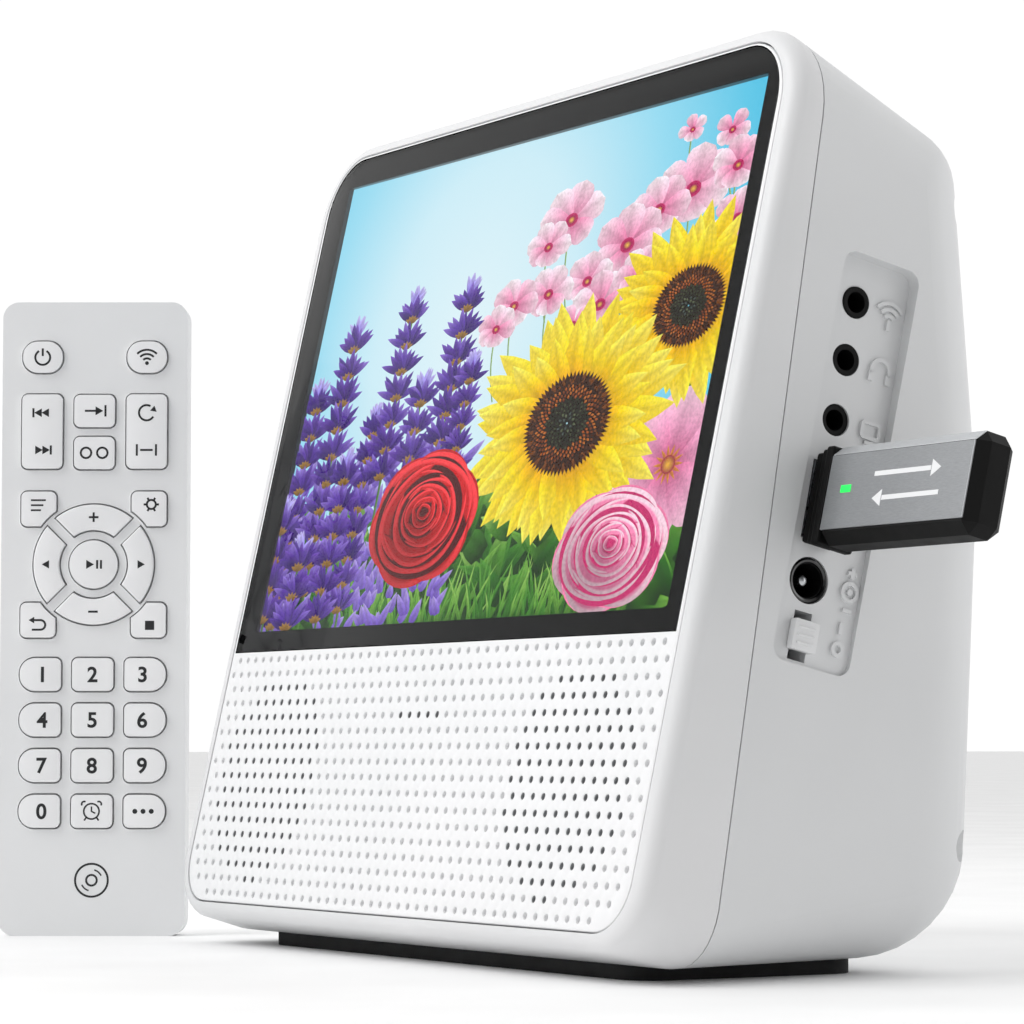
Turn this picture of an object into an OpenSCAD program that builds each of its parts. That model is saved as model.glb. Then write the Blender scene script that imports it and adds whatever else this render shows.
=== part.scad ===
/* [Body] */
// Width of the player's body
body_w = 172; // [166:1:210]
// Backward lean of the front face, in degrees
tilt = 13; // [10:0.5:15]
// Distance from the front face at the screen's foot to the rear wall
body_d = 65.5; // [64:0.5:76]
// Height of the screen glass's lower edge above the table
screen_z = 58; // [55:0.5:64]
// Thickness of the shell walls
wall = 2.4; // [2:0.1:2.8]
// Lean of the parting plane between the two shells, in degrees
parting_tilt = 9.3; // [8:0.1:10]
// Distance from the front face at the screen's foot back to the parting plane
parting_d = 12.6; // [11:0.1:14]

/* [Front panel] */
// Height of the screen glass
glass_h = 104; // [102:1:112]
// Thickness of the screen glass
glass_t = 1.5; // [1:0.1:2]
// Height of the speaker grille below the glass
grille_h = 50.5; // [49:0.5:53]
// Thickness of the fascia panel
fascia_t = 3; // [2.5:0.1:4]
// Visible gap round the fascia
fascia_gap = 0.3; // [0.2:0.05:0.5]
// Black border of the glass on each side of the display
border_side = 5.5; // [4:0.5:8]
// Spacing of the grille holes
hole_pitch = 3.4; // [3:0.1:4]
// Diameter of a grille hole
hole_d = 1.3; // [1:0.1:1.6]
// Diameter of a loudspeaker
speaker_d = 40; // [34:1:42]

/* [Ports] */
// Depth of the port line behind the front face
port_d = 21.6; // [20:0.1:24]
// Diameter of the bore of a headphone-size jack
jack_bore_d = 3.6; // [3.5:0.05:3.8]
// Diameter of a jack's collar
jack_collar_d = 5.4; // [5:0.1:6.4]
// Diameter of the power inlet's barrel
dc_barrel_d = 7.8; // [7:0.1:8.5]
// Length of the sunk port field
field_l = 71; // [68:0.5:72]
// Width of the sunk port field
field_w = 16; // [15:0.5:18]

/* [Disc drive] */
// Diameter of the disc
disc_d = 120; // [118:1:122]
// Height of the spindle above the table
spindle_z = 74; // [73:0.5:76]
// Travel of the optical pickup
sled_travel = 32; // [28:1:34]
// Diameter of a guide rod
rod_d = 3; // [2.4:0.1:3.4]
// Clearance of a running shaft, on the radius
run_gap = 0.06; // [0.02:0.01:0.1]

/* [Remote] */
// Height of the remote control
remote_h = 132; // [131:1:140]
// Width of the remote control
remote_w = 38.7; // [38:0.1:44]
// Thickness of the remote control
remote_t = 8; // [7.5:0.1:10]
// Turn of the remote control to the right, in degrees
remote_turn = 59; // [40:1:80]
// Gap round every key
key_gap = 0.35; // [0.3:0.05:0.45]
// Height of a key above the remote's face
key_rise = 0.9; // [0.8:0.05:1.2]

/* [Hidden] */
RING_NAMES = ["key_right", "key_up", "key_left", "key_down"];
DIGIT_ORDER = [1, 2, 3, 4, 5, 6, 7, 8, 9, 0];
col = 10.9;
row = 9.45;
ring_z = 77;
ring_r = 12.5;
ring_bore_r = 7.2;
corner_gap = 1.2;
// Each key is its name, outline, centre across, centre height, width and height
KEYS = concat(
    [["key_power", "oval", -col, 120.4, 8.2, 6.5], ["key_wireless", "oval", col, 120.4, 8.2, 6.5],
     ["key_skip", "bar", -col, 104.8, 8.4, 15.5], ["key_goto", "bar", 0, 109.1, 8.4, 6.7],
     ["key_channel", "bar", 0, 100.3, 8.4, 6.7], ["key_repeat", "bar", col, 104.8, 8.4, 15.5],
     ["key_menu", "corner", -col - 0.6, 88.6, 7.2, 7.2], ["key_set", "corner", col + 0.6, 88.6, 7.2, 7.2],
     ["key_back", "corner", -col - 0.6, 65.4, 7.2, 7.2], ["key_stop", "corner", col + 0.6, 65.4, 7.2, 7.2],
     ["key_play", "disc", 0, ring_z, 10, 10]],
    [for (i = [0:3]) [RING_NAMES[i], "arc", i * 90, ring_z, 0, 0]],
    [for (i = [0:9]) [str("key_", DIGIT_ORDER[i]), i == 9 || i % 3 == 0 ? "left" : i % 3 == 1 ? "bar" : "right",
        i == 9 ? -col : (i % 3 - 1) * col, 54.1 - row * floor(i / 3), 8.5, 6.8]],
    [["key_clock", "bar", 0, 54.1 - 3 * row, 8.5, 6.8], ["key_mode", "right", col, 54.1 - 3 * row, 8.5, 6.8]]);

smooth = 36;
fine = 64;
big = 400;
eps = 0.01;
half_w = body_w / 2;
face_y = -27;
pad_t = 2.5;
rear_y = face_y + body_d;

// Fascia, glass and display
edge_r = 3;
side_rim = 3.7;
low_rim = 3;
fascia_w = body_w - 2 * (side_rim + fascia_gap);
fascia_margin = 1;
top_margin = 0.6;
glass_w = fascia_w - 2 * fascia_margin;
fascia_top = glass_h + top_margin;
shell_top = fascia_top + edge_r;
shell_low = -grille_h - low_rim;
glass_r = 11.5;
fascia_r = glass_r + fascia_margin;
fascia_low_r = 9;
shell_r = fascia_r + side_rim;
shell_low_r = fascia_low_r + low_rim;
glass_fit = 0.15;
ledge = 3;
ledge_t = 2;
display_w = glass_w - 2 * border_side;
border_low = 4.5;
display_h = glass_h - border_low - 5.3;
lcd_frame = 1.2;
lcd_room = 1;
lcd_t = 4;

// Curves of the body seen from the side
mid_r = 14;
mid_z = 25;
low_r = 20;
chin_r = 10;
high_r = 12;
top_slope = 29;
high_y = body_d - 17;
edge_y = shell_top * sin(tilt);
edge_z = shell_top * cos(tilt);
high_z = edge_z - (high_y - edge_y) * tan(top_slope) - high_r / cos(top_slope);

// Where the disc drive sits
deck_y = rear_y - 16.5;
deck_t = 2;
well_r = disc_d / 2 + 1.5;
well_wall = 1.5;
well_depth = 3;
rail_y = deck_y - 4;
rail_z = 11.5;
screw_z = spindle_z - 20;
sled_x = 14;
sled_l = 22;
tab_x = 75;
rod_start = 10;
holder_l = 3.2;
screw_r = 1.4;
sled_motor_r = 5.5;
sled_motor_end = 8;
board_y = deck_y - 16;
board_t = 1.6;
BOARD_POSTS = [[52, 20], [40, 44]];
board_half = 60;
board_z = [84, 138];

// Door in the rear wall
door_half = disc_d / 2 + 1.5;
door_low = spindle_z - disc_d / 2 - 1;
door_r = 16;
door_gap = 0.4;
hinge_z = spindle_z + disc_d / 2 + 2;
barrel_r = 2.6;
pin_r = 0.9;
pin_l = 14;
lug_x = door_half + door_gap;
lug_l = 5;
lug_half = 2.4;
barrel_half = door_half - 3;
hinge_drop = 0.5;
swing_gap = 1.4;
hinge_y = face_y + high_y + (high_r - barrel_r) - hinge_drop;
button_r = 3;
button_x = 67;
button_z = 36;
button_flange_y = rear_y - wall - 3;

// Screw posts
post_x = half_w - 6;
post_z = [22, 132];
post_r = 3.9;
post_bore_r = 2.8;
shank_r = 1.2;
boss_l = 8;
deck_post_x = 70;
deck_post_z = 22;
tab_half_z = deck_post_z + 5;

// Ports along the right side
FIELD_V = 32.7;
JACK_V = [62.8, 52.6, 42];
usb_v = 27.6;
dc_v = 14;
switch_v = 4.4;
field_shift = 2.5;
field_r = 2.5;
field_deep = 2.8;
field_slope = 1.6;
pad_in = 6;
pad_rim = [1.5, 4];
port_board_x = half_w - 18.4;
jack_back_x = port_board_x + board_t;
jack_fit = 0.08;
floor_x = half_w - 1.8;
usb_w = 13.2;
usb_h = 5.8;
slot_l = 8.4;
slot_w = 3.6;
slider_cap = [1.6, 5, 5.2];

// Loudspeaker grille
row_pitch = hole_pitch * sin(60);
row_count = floor((grille_h - 1.5) / row_pitch);
side_holes = ceil(fascia_w / hole_pitch / 2);
first_row = -1.6;
centre_row = 4;
centre_holes = 2;
speaker_x = fascia_w / 2 - speaker_d / 2 - 6;
speaker_v = -grille_h / 2 - 0.4;

// Battery, lying across the body's foot
battery_y = face_y + 27;
battery_t = 18.4;

// Memory stick in the side socket
stick_plug_l = 11.2;
stick_neck_l = 5;
stick_body_l = 36;
stick_l = 46;
stick_w = 17;
stick_t = 7.6;
cap_lip = 0.4;

// Remote control
remote_x = -116.6;
remote_y = face_y - 15;
remote_r = 3.4;
half_t = remote_t / 2;
skin_t = 1.6;
cell_r = 8;
cell_t = 2.5;

function face_at(z) = face_y + (z - screen_z) * tan(tilt);
function parting_at(z) = face_y + parting_d + (z - screen_z) * tan(parting_tilt);
function screw_seat_y(z) = max(parting_at(z) + 0.6, face_at(z) + boss_l + fascia_t / 2);

// Places the children in the plane of the front face: X across, Y inwards, Z up the face
module on_face() {
    translate([0, face_y, screen_z]) rotate([-tilt, 0, 0]) children();
}

// Extrudes an outline drawn on the front face from depth d0 to depth d1
module sunk(d0, d1) {
    on_face() translate([0, d1, 0]) rotate([90, 0, 0]) linear_extrude(d1 - d0) children();
}

// Rectangle with one radius at its lower corners and another at its upper corners
module panel(w, low, high, r_low, r_high) {
    translate([-w / 2, low + r_low]) square([w, high - low - r_low - r_high]);
    translate([-w / 2 + r_low, low]) square([w - 2 * r_low, r_low + eps]);
    translate([-w / 2 + r_high, high - r_high - eps]) square([w - 2 * r_high, r_high + eps]);
    for (s = [-1, 1]) {
        if (r_low > 0) translate([s * (w / 2 - r_low), low + r_low]) circle(r = r_low, $fn = fine);
        if (r_high > 0) translate([s * (w / 2 - r_high), high - r_high]) circle(r = r_high, $fn = fine);
    }
}

module fascia_outline(grow = 0) {
    panel(fascia_w + 2 * grow, -grille_h - grow, fascia_top + grow, fascia_low_r + grow, fascia_r + grow);
}

module centred_panel(w, h, r) {
    panel(w, -h / 2, h / 2, r, r);
}

// Flat corner piece of the front, with a round edge outside and a square one inside the wall
module puck(r, low, inset, facets) {
    translate([half_w - r, edge_r, low]) rotate([90, 0, 0])
        if (inset > 0) cylinder(r = r - inset, h = max(edge_r - inset, eps * 10), $fn = facets);
        else rotate_extrude($fn = facets) translate([r - edge_r, 0]) circle(r = edge_r, $fn = facets / 2);
}

// Whole outer form of the body, drawn in on every side by inset
module body_form(inset = 0, facets = smooth) {
    hull() for (s = [0, 1]) mirror([s, 0, 0]) {
        on_face() puck(shell_r, shell_top - shell_r, inset, facets);
        on_face() puck(shell_low_r, shell_low + shell_low_r, inset, facets);
        translate([half_w - chin_r, face_y + 2, pad_t + chin_r]) sphere(r = chin_r - inset, $fn = facets);
        translate([half_w - low_r, rear_y - low_r, pad_t + low_r]) sphere(r = low_r - inset, $fn = facets);
        translate([half_w - mid_r, rear_y - mid_r + 0.3, screen_z + mid_z])
            sphere(r = mid_r - inset, $fn = facets);
        translate([half_w - high_r, face_y + high_y, screen_z + high_z])
            sphere(r = high_r - inset, $fn = facets);
    }
}

// Everything in front of the parting plane, moved back by shift
module front_side(shift = 0) {
    translate([0, face_y + parting_d + shift, screen_z]) rotate([-parting_tilt, 0, 0])
        translate([-big / 2, -big, -big / 2]) cube(big);
}

// Rod along Y with its front end at y0
module rod_y(x, z, y0, y1, r) {
    translate([x, y1, z]) rotate([90, 0, 0]) cylinder(r = r, h = y1 - y0, $fn = fine);
}

// Rod along X from x0 to x1
module rod_x(x0, x1, y, z, r) {
    translate([x0, y, z]) rotate([0, 90, 0]) cylinder(r = r, h = x1 - x0, $fn = fine);
}

// Places the children at a port: X outwards from the body, Y along the depth, Z up the port line
module at_port(v, d = port_d) {
    on_face() translate([0, d, v]) children();
}

module block(x0, x1, y0, y1, z0, z1) {
    translate([x0, y0, z0]) cube([x1 - x0, y1 - y0, z1 - z0]);
}

module front_shell() {
    tongue = 2;
    tongue_gap = 0.15;
    tongue_t = 1;
    color("whitesmoke") difference() {
        union() {
            intersection() {
                difference() {
                    body_form();
                    body_form(wall, 20);
                }
                front_side(-0.25);
            }
            intersection() {
                difference() {
                    body_form(wall + tongue_gap, 20);
                    body_form(wall + tongue_gap + tongue_t, 20);
                }
                front_side(tongue);
                sunk(fascia_t, big / 4) centred_panel(big, big, 0);
            }
            intersection() {
                body_form(wall / 2, 20);
                sunk(fascia_t, fascia_t + ledge_t) fascia_outline(side_rim);
            }
            for (x = [-post_x, post_x], z = post_z)
                rod_y(x, z, screw_seat_y(z) - boss_l, screw_seat_y(z), post_r - 1);
        }
        sunk(-big / 8, fascia_t) fascia_outline(fascia_gap);
        sunk(0, fascia_t + ledge_t + eps)
            panel(fascia_w - 2 * ledge, ledge - grille_h, fascia_top - ledge, fascia_low_r - ledge, 4);
        for (x = [-post_x, post_x], z = post_z)
            rod_y(x, z, screw_seat_y(z) - boss_l + 1, screw_seat_y(z) + 1, shank_r + 0.05);
        for (x = [-post_x, post_x], z = post_z)
            rod_y(x, z, screw_seat_y(z), screw_seat_y(z) + 2 * tongue, post_r + tongue_gap);
    }
}

module rear_shell() {
    color("gainsboro") difference() {
        union() {
            difference() {
                body_form();
                body_form(wall, 20);
                front_side();
            }
            port_pad();
            intersection() {
                body_form(wall / 2, 20);
                for (x = [-post_x, post_x], z = post_z)
                    rod_y(x, z, screw_seat_y(z) + 0.2, rear_y, post_r);
            }
            for (x = [-deck_post_x, deck_post_x], z = [-deck_post_z, deck_post_z])
                rod_y(x, spindle_z + z, deck_y + deck_t, rear_y - 2, 3.2);
            for (y = [battery_y - 2, battery_y + battery_t + 0.4])
                block(-30, 30, y, y + 1.6, pad_t + 1, pad_t + 9);
            for (s = [0, 1]) mirror([s, 0, 0])
                block(lug_x, lug_x + lug_l, hinge_y - lug_half, hinge_y + lug_half - 0.4,
                    hinge_z - lug_half, hinge_z + lug_half);
        }
        for (x = [-post_x, post_x], z = post_z) {
            rod_y(x, z, screw_seat_y(z) + 2.2, rear_y + 9, post_bore_r);
            rod_y(x, z, screw_seat_y(z) - 1, screw_seat_y(z) + 3, shank_r + 0.1);
        }
        door_opening();
        rod_y(button_x, button_z, rear_y - 9, rear_y + 3, button_r + 0.35);
        port_cuts();
    }
}

// Thick field of the side wall that the ports pass through
module port_pad() {
    half = [field_w / 2 + pad_rim[0], field_l / 2];
    at_port(FIELD_V, port_d + field_shift)
        block(half_w - pad_in, half_w - wall / 2, -half[0], half[0], -half[1] - pad_rim[0], half[1] + pad_rim[1]);
    for (v = [FIELD_V - field_l / 2 + 2, FIELD_V + field_l / 2 - 2])
        at_port(v, port_d + field_shift + 5.5) rod_x(jack_back_x, half_w - pad_in + 1, 0, 0, 2);
}

module port_cuts() {
    at_port(FIELD_V, port_d + field_shift) rotate([0, -field_slope, 0])
        translate([half_w - field_deep + 1, 0, 0]) rotate([0, 90, 0]) linear_extrude(20)
            rotate(90) centred_panel(field_w, field_l, field_r);
    for (v = JACK_V) at_port(v) rod_x(half_w - 12, half_w + 5, 0, 0, jack_collar_d / 2 + jack_fit);
    at_port(dc_v) rod_x(half_w - 12, half_w + 5, 0, 0, dc_barrel_d / 2 + jack_fit);
    at_port(usb_v) block(half_w - 12, half_w + 5, -usb_h / 2 - 0.2, usb_h / 2 + 0.2,
        -usb_w / 2 - 0.2, usb_w / 2 + 0.2);
    at_port(switch_v) block(half_w - 12, half_w + 5, -slot_w / 2, slot_w / 2, -slot_l / 2, slot_l / 2);
}

// Opening of the disc bay, with the trough that the hinge barrel and the door's upper lip turn in
module door_opening() {
    translate([0, rear_y + 8, 0]) rotate([90, 0, 0]) linear_extrude(26)
        panel(2 * (door_half + door_gap), door_low - door_gap, hinge_z, door_r + door_gap, 0);
    rod_x(-door_half - door_gap, door_half + door_gap, hinge_y, hinge_z, barrel_r + swing_gap);
    rod_x(-barrel_half - pin_l / 2 - 0.5, barrel_half + pin_l / 2 + 0.5, hinge_y, hinge_z, pin_r + 0.03);
}

module base_pad() {
    color("black") translate([0, -3, 0]) linear_extrude(pad_t)
        centred_panel(body_w - 36, 46, 6);
}

module fascia_panel() {
    reach = speaker_d / 2 + 0.4;
    color("white") difference() {
        sunk(0, fascia_t) difference() {
            fascia_outline();
            panel(glass_w - 2 * ledge, ledge, glass_h - ledge, 1, 1);
            for (j = [0:row_count], i = [-side_holes:side_holes])
                let (x = (i + (j % 2) / 2) * hole_pitch, v = first_row - j * row_pitch)
                    if (norm([abs(x) - speaker_x, v - speaker_v]) < reach)
                        translate([x, v]) circle(d = hole_d, $fn = 16);
            for (i = [-centre_holes:centre_holes])
                translate([i * hole_pitch, first_row - centre_row * row_pitch]) circle(d = hole_d, $fn = 16);
        }
        sunk(-1, glass_t) panel(glass_w + 2 * glass_fit, 0, glass_h + glass_fit, 0, glass_r);
    }
}

module screen_glass() {
    color("black") sunk(0, glass_t) panel(glass_w, glass_fit, glass_h, 0, glass_r);
}

// Flat display, seated on the back of the glass through a thin spacer frame
module lcd_panel() {
    w = display_w + 2 * lcd_frame;
    h = display_h + 2 * lcd_frame;
    mid = border_low + display_h / 2;
    color("dimgray") union() {
        sunk(glass_t + lcd_room, glass_t + lcd_room + lcd_t) translate([0, mid]) square([w, h], center = true);
        sunk(glass_t, glass_t + lcd_room + eps) translate([0, mid]) difference() {
            square([w, h], center = true);
            square([display_w, display_h], center = true);
        }
    }
}

// Loudspeaker with a flange on the fascia, an open basket, a cone and a magnet
module speaker(side) {
    r = speaker_d / 2;
    flange_t = 2;
    basket_h = 9;
    magnet_r = 11;
    magnet_h = 6;
    skin = 1.2;
    color("dimgray") on_face() translate([side * speaker_x, fascia_t, speaker_v]) rotate([-90, 0, 0])
        rotate_extrude($fn = fine) polygon([[0, flange_t + 4], [r * 0.25, flange_t + 4], [r - 2, 1],
            [r - 2, 0], [r, 0], [r, flange_t], [r - skin, flange_t], [magnet_r, flange_t + basket_h],
            [magnet_r, flange_t + basket_h + magnet_h], [0, flange_t + basket_h + magnet_h]]);
}
module left_speaker() { speaker(-1); }
module right_speaker() { speaker(1); }

module main_board() {
    color("darkgreen") difference() {
        union() {
            block(-board_half, board_half, board_y, board_y + board_t, board_z[0], board_z[1]);
            block(-22, -6, board_y + board_t - eps, board_y + board_t + 1.5, 100, 116);
            block(6, 30, board_y + board_t - eps, board_y + board_t + 1.2, 104, 114);
            block(38, 50, board_y + board_t - eps, board_y + board_t + 6, 124, 132);
            for (i = [0:3]) rod_y(-50 + 9 * i, 130, board_y + board_t - eps, board_y + board_t + 7, 3);
        }
        for (s = [-1, 1], post = BOARD_POSTS)
            rod_y(s * post[0], spindle_z + post[1], board_y - 1, board_y + board_t + 1, 1.6);
    }
}

module port_board() {
    color("darkgreen") on_face() difference() {
        block(port_board_x, jack_back_x, port_d - 8, port_d + 9, FIELD_V - field_l / 2, FIELD_V + field_l / 2);
        for (v = JACK_V) translate([0, port_d, v]) rod_x(port_board_x - 1, jack_back_x + 1, 0, 0, 0.8);
    }
}

// Jack body with a round collar through the wall and a bore for the plug
module jack(v) {
    depth = 14;
    color("black") at_port(v) difference() {
        union() {
            block(jack_back_x, half_w - pad_in, -4, 4, -3.9, 3.9);
            rod_x(half_w - pad_in - 1, floor_x - 0.6, 0, 0, jack_collar_d / 2);
        }
        rod_x(floor_x - 0.6 - depth, floor_x, 0, 0, jack_bore_d / 2);
    }
}
module fm_jack() { jack(JACK_V[0]); }
module headphone_jack() { jack(JACK_V[1]); }
module av_jack() { jack(JACK_V[2]); }

// Power inlet: a barrel with a centre pin
module dc_jack() {
    bore_r = 2.9;
    color("black") at_port(dc_v) union() {
        difference() {
            union() {
                block(jack_back_x, half_w - pad_in, -5, 5, -5, 5);
                rod_x(half_w - pad_in - 1, floor_x, 0, 0, dc_barrel_d / 2);
            }
            rod_x(floor_x - 9, floor_x + 1, 0, 0, bore_r);
        }
        rod_x(floor_x - 9 - eps, floor_x - 1.5, 0, 0, 0.95);
    }
}

module usb_port() {
    shell_t = 0.4;
    mouth = floor_x + 0.4;
    color("silver") at_port(usb_v) difference() {
        block(jack_back_x, mouth, -usb_h / 2, usb_h / 2, -usb_w / 2, usb_w / 2);
        difference() {
            block(mouth - 12.2, mouth + 1, -usb_h / 2 + shell_t, usb_h / 2 - shell_t,
                -usb_w / 2 + shell_t, usb_w / 2 - shell_t);
            block(mouth - 13, mouth - 1, 0.4, usb_h / 2 - shell_t - 0.1, -5.4, 5.4);
        }
    }
}

// Memory stick: its plug, a thin neck, the body and an end cap that stands proud
module usb_stick() {
    mouth = floor_x + 0.4;
    half = [stick_t / 2, stick_w / 2];
    color("dimgray") at_port(usb_v) union() {
        block(mouth - stick_plug_l, mouth + 1.2, -usb_h / 2 + 0.65, 0, -6, 6);
        block(mouth + 1.2, mouth + stick_neck_l, 0.6 - half[0], half[0] - 0.6, 0.6 - half[1], half[1] - 0.6);
        block(mouth + stick_neck_l - eps, mouth + stick_body_l, -half[0], half[0], -half[1], half[1]);
        block(mouth + stick_body_l - eps, mouth + stick_l, -half[0] - cap_lip, half[0] + cap_lip,
            -half[1] - cap_lip, half[1] + cap_lip);
    }
}

// Sliding switch: a cap over the slot, a stem through it and a foot behind the wall
module power_slider() {
    cap_x = floor_x + 1.1;
    half = [slider_cap[1] / 2, slider_cap[2] / 2];
    color("whitesmoke") at_port(switch_v) union() {
        block(cap_x, cap_x + slider_cap[0], -half[0], half[0], -half[1], half[1]);
        block(half_w - 9, cap_x + eps, -slot_w / 2 + 0.3, slot_w / 2 - 0.3, -2, 2);
        block(jack_back_x + 4, half_w - 9 + eps, -2.4, 2.4, -3, 3);
    }
}

module ir_receiver() {
    color("black") sunk(fascia_t, fascia_t + 3) translate([0, first_row - centre_row * row_pitch])
        centred_panel((2 * centre_holes + 1) * hole_pitch, 6, 1);
}

module disc_door() {
    color("whitesmoke") difference() {
        union() {
            intersection() {
                difference() {
                    body_form();
                    body_form(wall, 20);
                }
                translate([0, rear_y + 8, 0]) rotate([90, 0, 0]) linear_extrude(26)
                    panel(2 * door_half, door_low, hinge_z, door_r, 0);
            }
            rod_x(-barrel_half, barrel_half, hinge_y, hinge_z, barrel_r);
        }
        for (s = [-1, 1]) mirror([(1 - s) / 2, 0, 0])
            rod_x(barrel_half - pin_l / 2 - 0.3, barrel_half + pin_l, hinge_y, hinge_z, pin_r + run_gap);
    }
}

module door_pins() {
    color("silver") for (s = [0, 1]) mirror([s, 0, 0])
        rod_x(barrel_half - pin_l / 2, barrel_half + pin_l / 2, hinge_y, hinge_z, pin_r);
}

module door_button() {
    color("silver") union() {
        rod_y(button_x, button_z, button_flange_y, rear_y + 0.8, button_r);
        rod_y(button_x, button_z, button_flange_y, button_flange_y + 1.2, button_r + 1);
    }
}

module drive_chassis() {
    color("slategray") difference() {
        union() {
            rod_y(0, spindle_z, deck_y, deck_y + deck_t, well_r + well_wall);
            block(-tab_x, tab_x, deck_y, deck_y + deck_t, spindle_z - tab_half_z, spindle_z + tab_half_z);
            difference() {
                rod_y(0, spindle_z, deck_y, deck_y + deck_t + well_depth, well_r + well_wall);
                rod_y(0, spindle_z, deck_y + deck_t, deck_y + deck_t + well_depth + 1, well_r);
            }
            for (x = [rod_start, tab_x - holder_l - 1], z = [-rail_z, rail_z])
                block(x, x + holder_l, rail_y - 3, deck_y + eps, spindle_z + z - 3, spindle_z + z + 3);
            block(tab_x - holder_l - 1, tab_x - 1, rail_y - 3, deck_y + eps, screw_z - 3, screw_z + 3);
            block(-8, -5, deck_y - 2 * sled_motor_r - 1.5, deck_y + eps, screw_z - 8, screw_z + 7);
            for (s = [-1, 1], post = BOARD_POSTS)
                rod_y(s * post[0], spindle_z + post[1], board_y + board_t, deck_y + eps, 3);
        }
        rod_y(0, spindle_z, deck_y - 1, deck_y + deck_t + 1, 4);
        block(sled_x + 4, sled_x + sled_l + sled_travel - 4, deck_y - 1, deck_y + deck_t + 1,
            spindle_z - 6, spindle_z + 6);
        for (z = [-rail_z, rail_z])
            rod_x(rod_start + 0.6, tab_x - 1.6, rail_y, spindle_z + z, rod_d / 2 + 0.02);
        rod_x(tab_x - holder_l - 2, tab_x - 2, rail_y, screw_z, screw_r + run_gap);
        rod_x(-9, -4, deck_y - sled_motor_r - 0.3, screw_z, sled_motor_r + 0.02);
    }
}

module spindle_motor() {
    motor_r = 9;
    color("silver") difference() {
        rod_y(0, spindle_z, deck_y - 10, deck_y, motor_r);
        rod_y(0, spindle_z, deck_y - 8, deck_y + 1, 1 + run_gap);
    }
}

module turntable() {
    color("black") union() {
        rod_y(0, spindle_z, deck_y + deck_t + 0.4, deck_y + deck_t + 3, 15);
        rod_y(0, spindle_z, deck_y + deck_t + 3 - eps, deck_y + deck_t + 5.4, 7.3);
        rod_y(0, spindle_z, deck_y - 7.5, deck_y + deck_t + 0.5, 1);
    }
}

module pickup_sled() {
    half_h = rail_z + 3.2;
    color("darkslategray") difference() {
        union() {
            block(sled_x, sled_x + sled_l, rail_y - 3.2, rail_y + 3.2, spindle_z - half_h, spindle_z + half_h);
            block(sled_x + 6, sled_x + 12, rail_y - 2.6, rail_y + 2.6, screw_z - 3, spindle_z - half_h + eps);
            rod_y(sled_x + sled_l / 2, spindle_z, rail_y, deck_y + deck_t + 0.8, 3.4);
        }
        for (z = [-rail_z, rail_z])
            rod_x(sled_x - 1, sled_x + sled_l + 1, rail_y, spindle_z + z, rod_d / 2 + run_gap);
        rod_x(sled_x, sled_x + sled_l, rail_y, screw_z, screw_r + run_gap);
    }
}

module guide_rods() {
    color("silver") for (z = [-rail_z, rail_z])
        rod_x(rod_start + 0.6, tab_x - 1.6, rail_y, spindle_z + z, rod_d / 2);
}

module lead_screw() {
    color("silver") rod_x(sled_motor_end + 0.3, tab_x - 2.2, rail_y, screw_z, screw_r);
}

module sled_motor() {
    color("silver") rod_x(-12, sled_motor_end, deck_y - sled_motor_r - 0.3, screw_z, sled_motor_r);
}

module battery_pack() {
    r = battery_t / 2;
    half_l = 35;
    z0 = pad_t + wall + 0.2 + r;
    color("royalblue") union() {
        for (z = [z0, z0 + 2 * r + 0.6]) rod_x(-half_l, half_l, battery_y + r, z, r);
        block(-half_l, half_l, battery_y + 0.6, battery_y + battery_t - 0.6, z0, z0 + 2 * r + 0.6);
    }
}

module case_screws() {
    color("silver") for (x = [-post_x, post_x], z = post_z) {
        rod_y(x, z, screw_seat_y(z) - boss_l + 2.3, screw_seat_y(z) + 2.3, shank_r);
        rod_y(x, z, screw_seat_y(z) + 2.2, screw_seat_y(z) + 4, 2.4);
    }
}

// Remote control: local frame is X across, -Y out of its face, Z up
module at_remote() {
    translate([remote_x, remote_y, 0]) rotate([0, 0, remote_turn]) children();
}

// Extrudes an outline on the remote's face from y0 back to y1
module keyed(y0, y1) {
    at_remote() translate([0, y1, 0]) rotate([90, 0, 0]) linear_extrude(y1 - y0) children();
}

// Quarter segment of the ring of direction keys
module ring_arc(turn, grow) {
    split = 1.7 - grow;
    translate([0, ring_z]) rotate(turn) intersection() {
        difference() {
            circle(r = ring_r + grow, $fn = fine);
            circle(r = ring_bore_r - grow, $fn = fine);
        }
        translate([split, 0]) polygon([[0, 0], [big / 8, -big / 8], [big / 8, big / 8]]);
    }
}

module key_outline(k, grow = 0) {
    w = k[4] + 2 * grow;
    h = k[5] + 2 * grow;
    round_r = k[5] / 2 - 0.2 + grow;
    bar_r = 1.2 + grow;
    if (k[1] == "arc") ring_arc(k[2], grow);
    else if (k[1] == "corner") difference() {
        translate([k[2], k[3]]) centred_panel(w, h, bar_r);
        translate([0, ring_z]) circle(r = ring_r + corner_gap - grow, $fn = fine);
    }
    else translate([k[2], k[3]]) {
        if (k[1] == "disc") circle(r = w / 2, $fn = fine);
        if (k[1] == "oval") centred_panel(w, h, round_r);
        if (k[1] == "bar") centred_panel(w, h, bar_r);
        if (k[1] == "left") rotate(90) panel(h, -w / 2, w / 2, bar_r, round_r);
        if (k[1] == "right") rotate(-90) panel(h, -w / 2, w / 2, bar_r, round_r);
    }
}

module remote_key(k) {
    cap_back = skin_t + 1.2;
    color("white") union() {
        keyed(-half_t - key_rise, -half_t + cap_back) key_outline(k);
        keyed(-half_t + skin_t + 0.1, -half_t + cap_back) key_outline(k, 0.5);
    }
}

module remote_front() {
    color("white") difference() {
        keyed(-half_t, 0) panel(remote_w, 0, remote_h, remote_r, remote_r);
        keyed(-half_t + skin_t, 1) panel(remote_w - 2 * skin_t, skin_t, remote_h - skin_t, 2, 2);
        keyed(-half_t - 1, 0) for (k = KEYS) key_outline(k, key_gap);
    }
}

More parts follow.
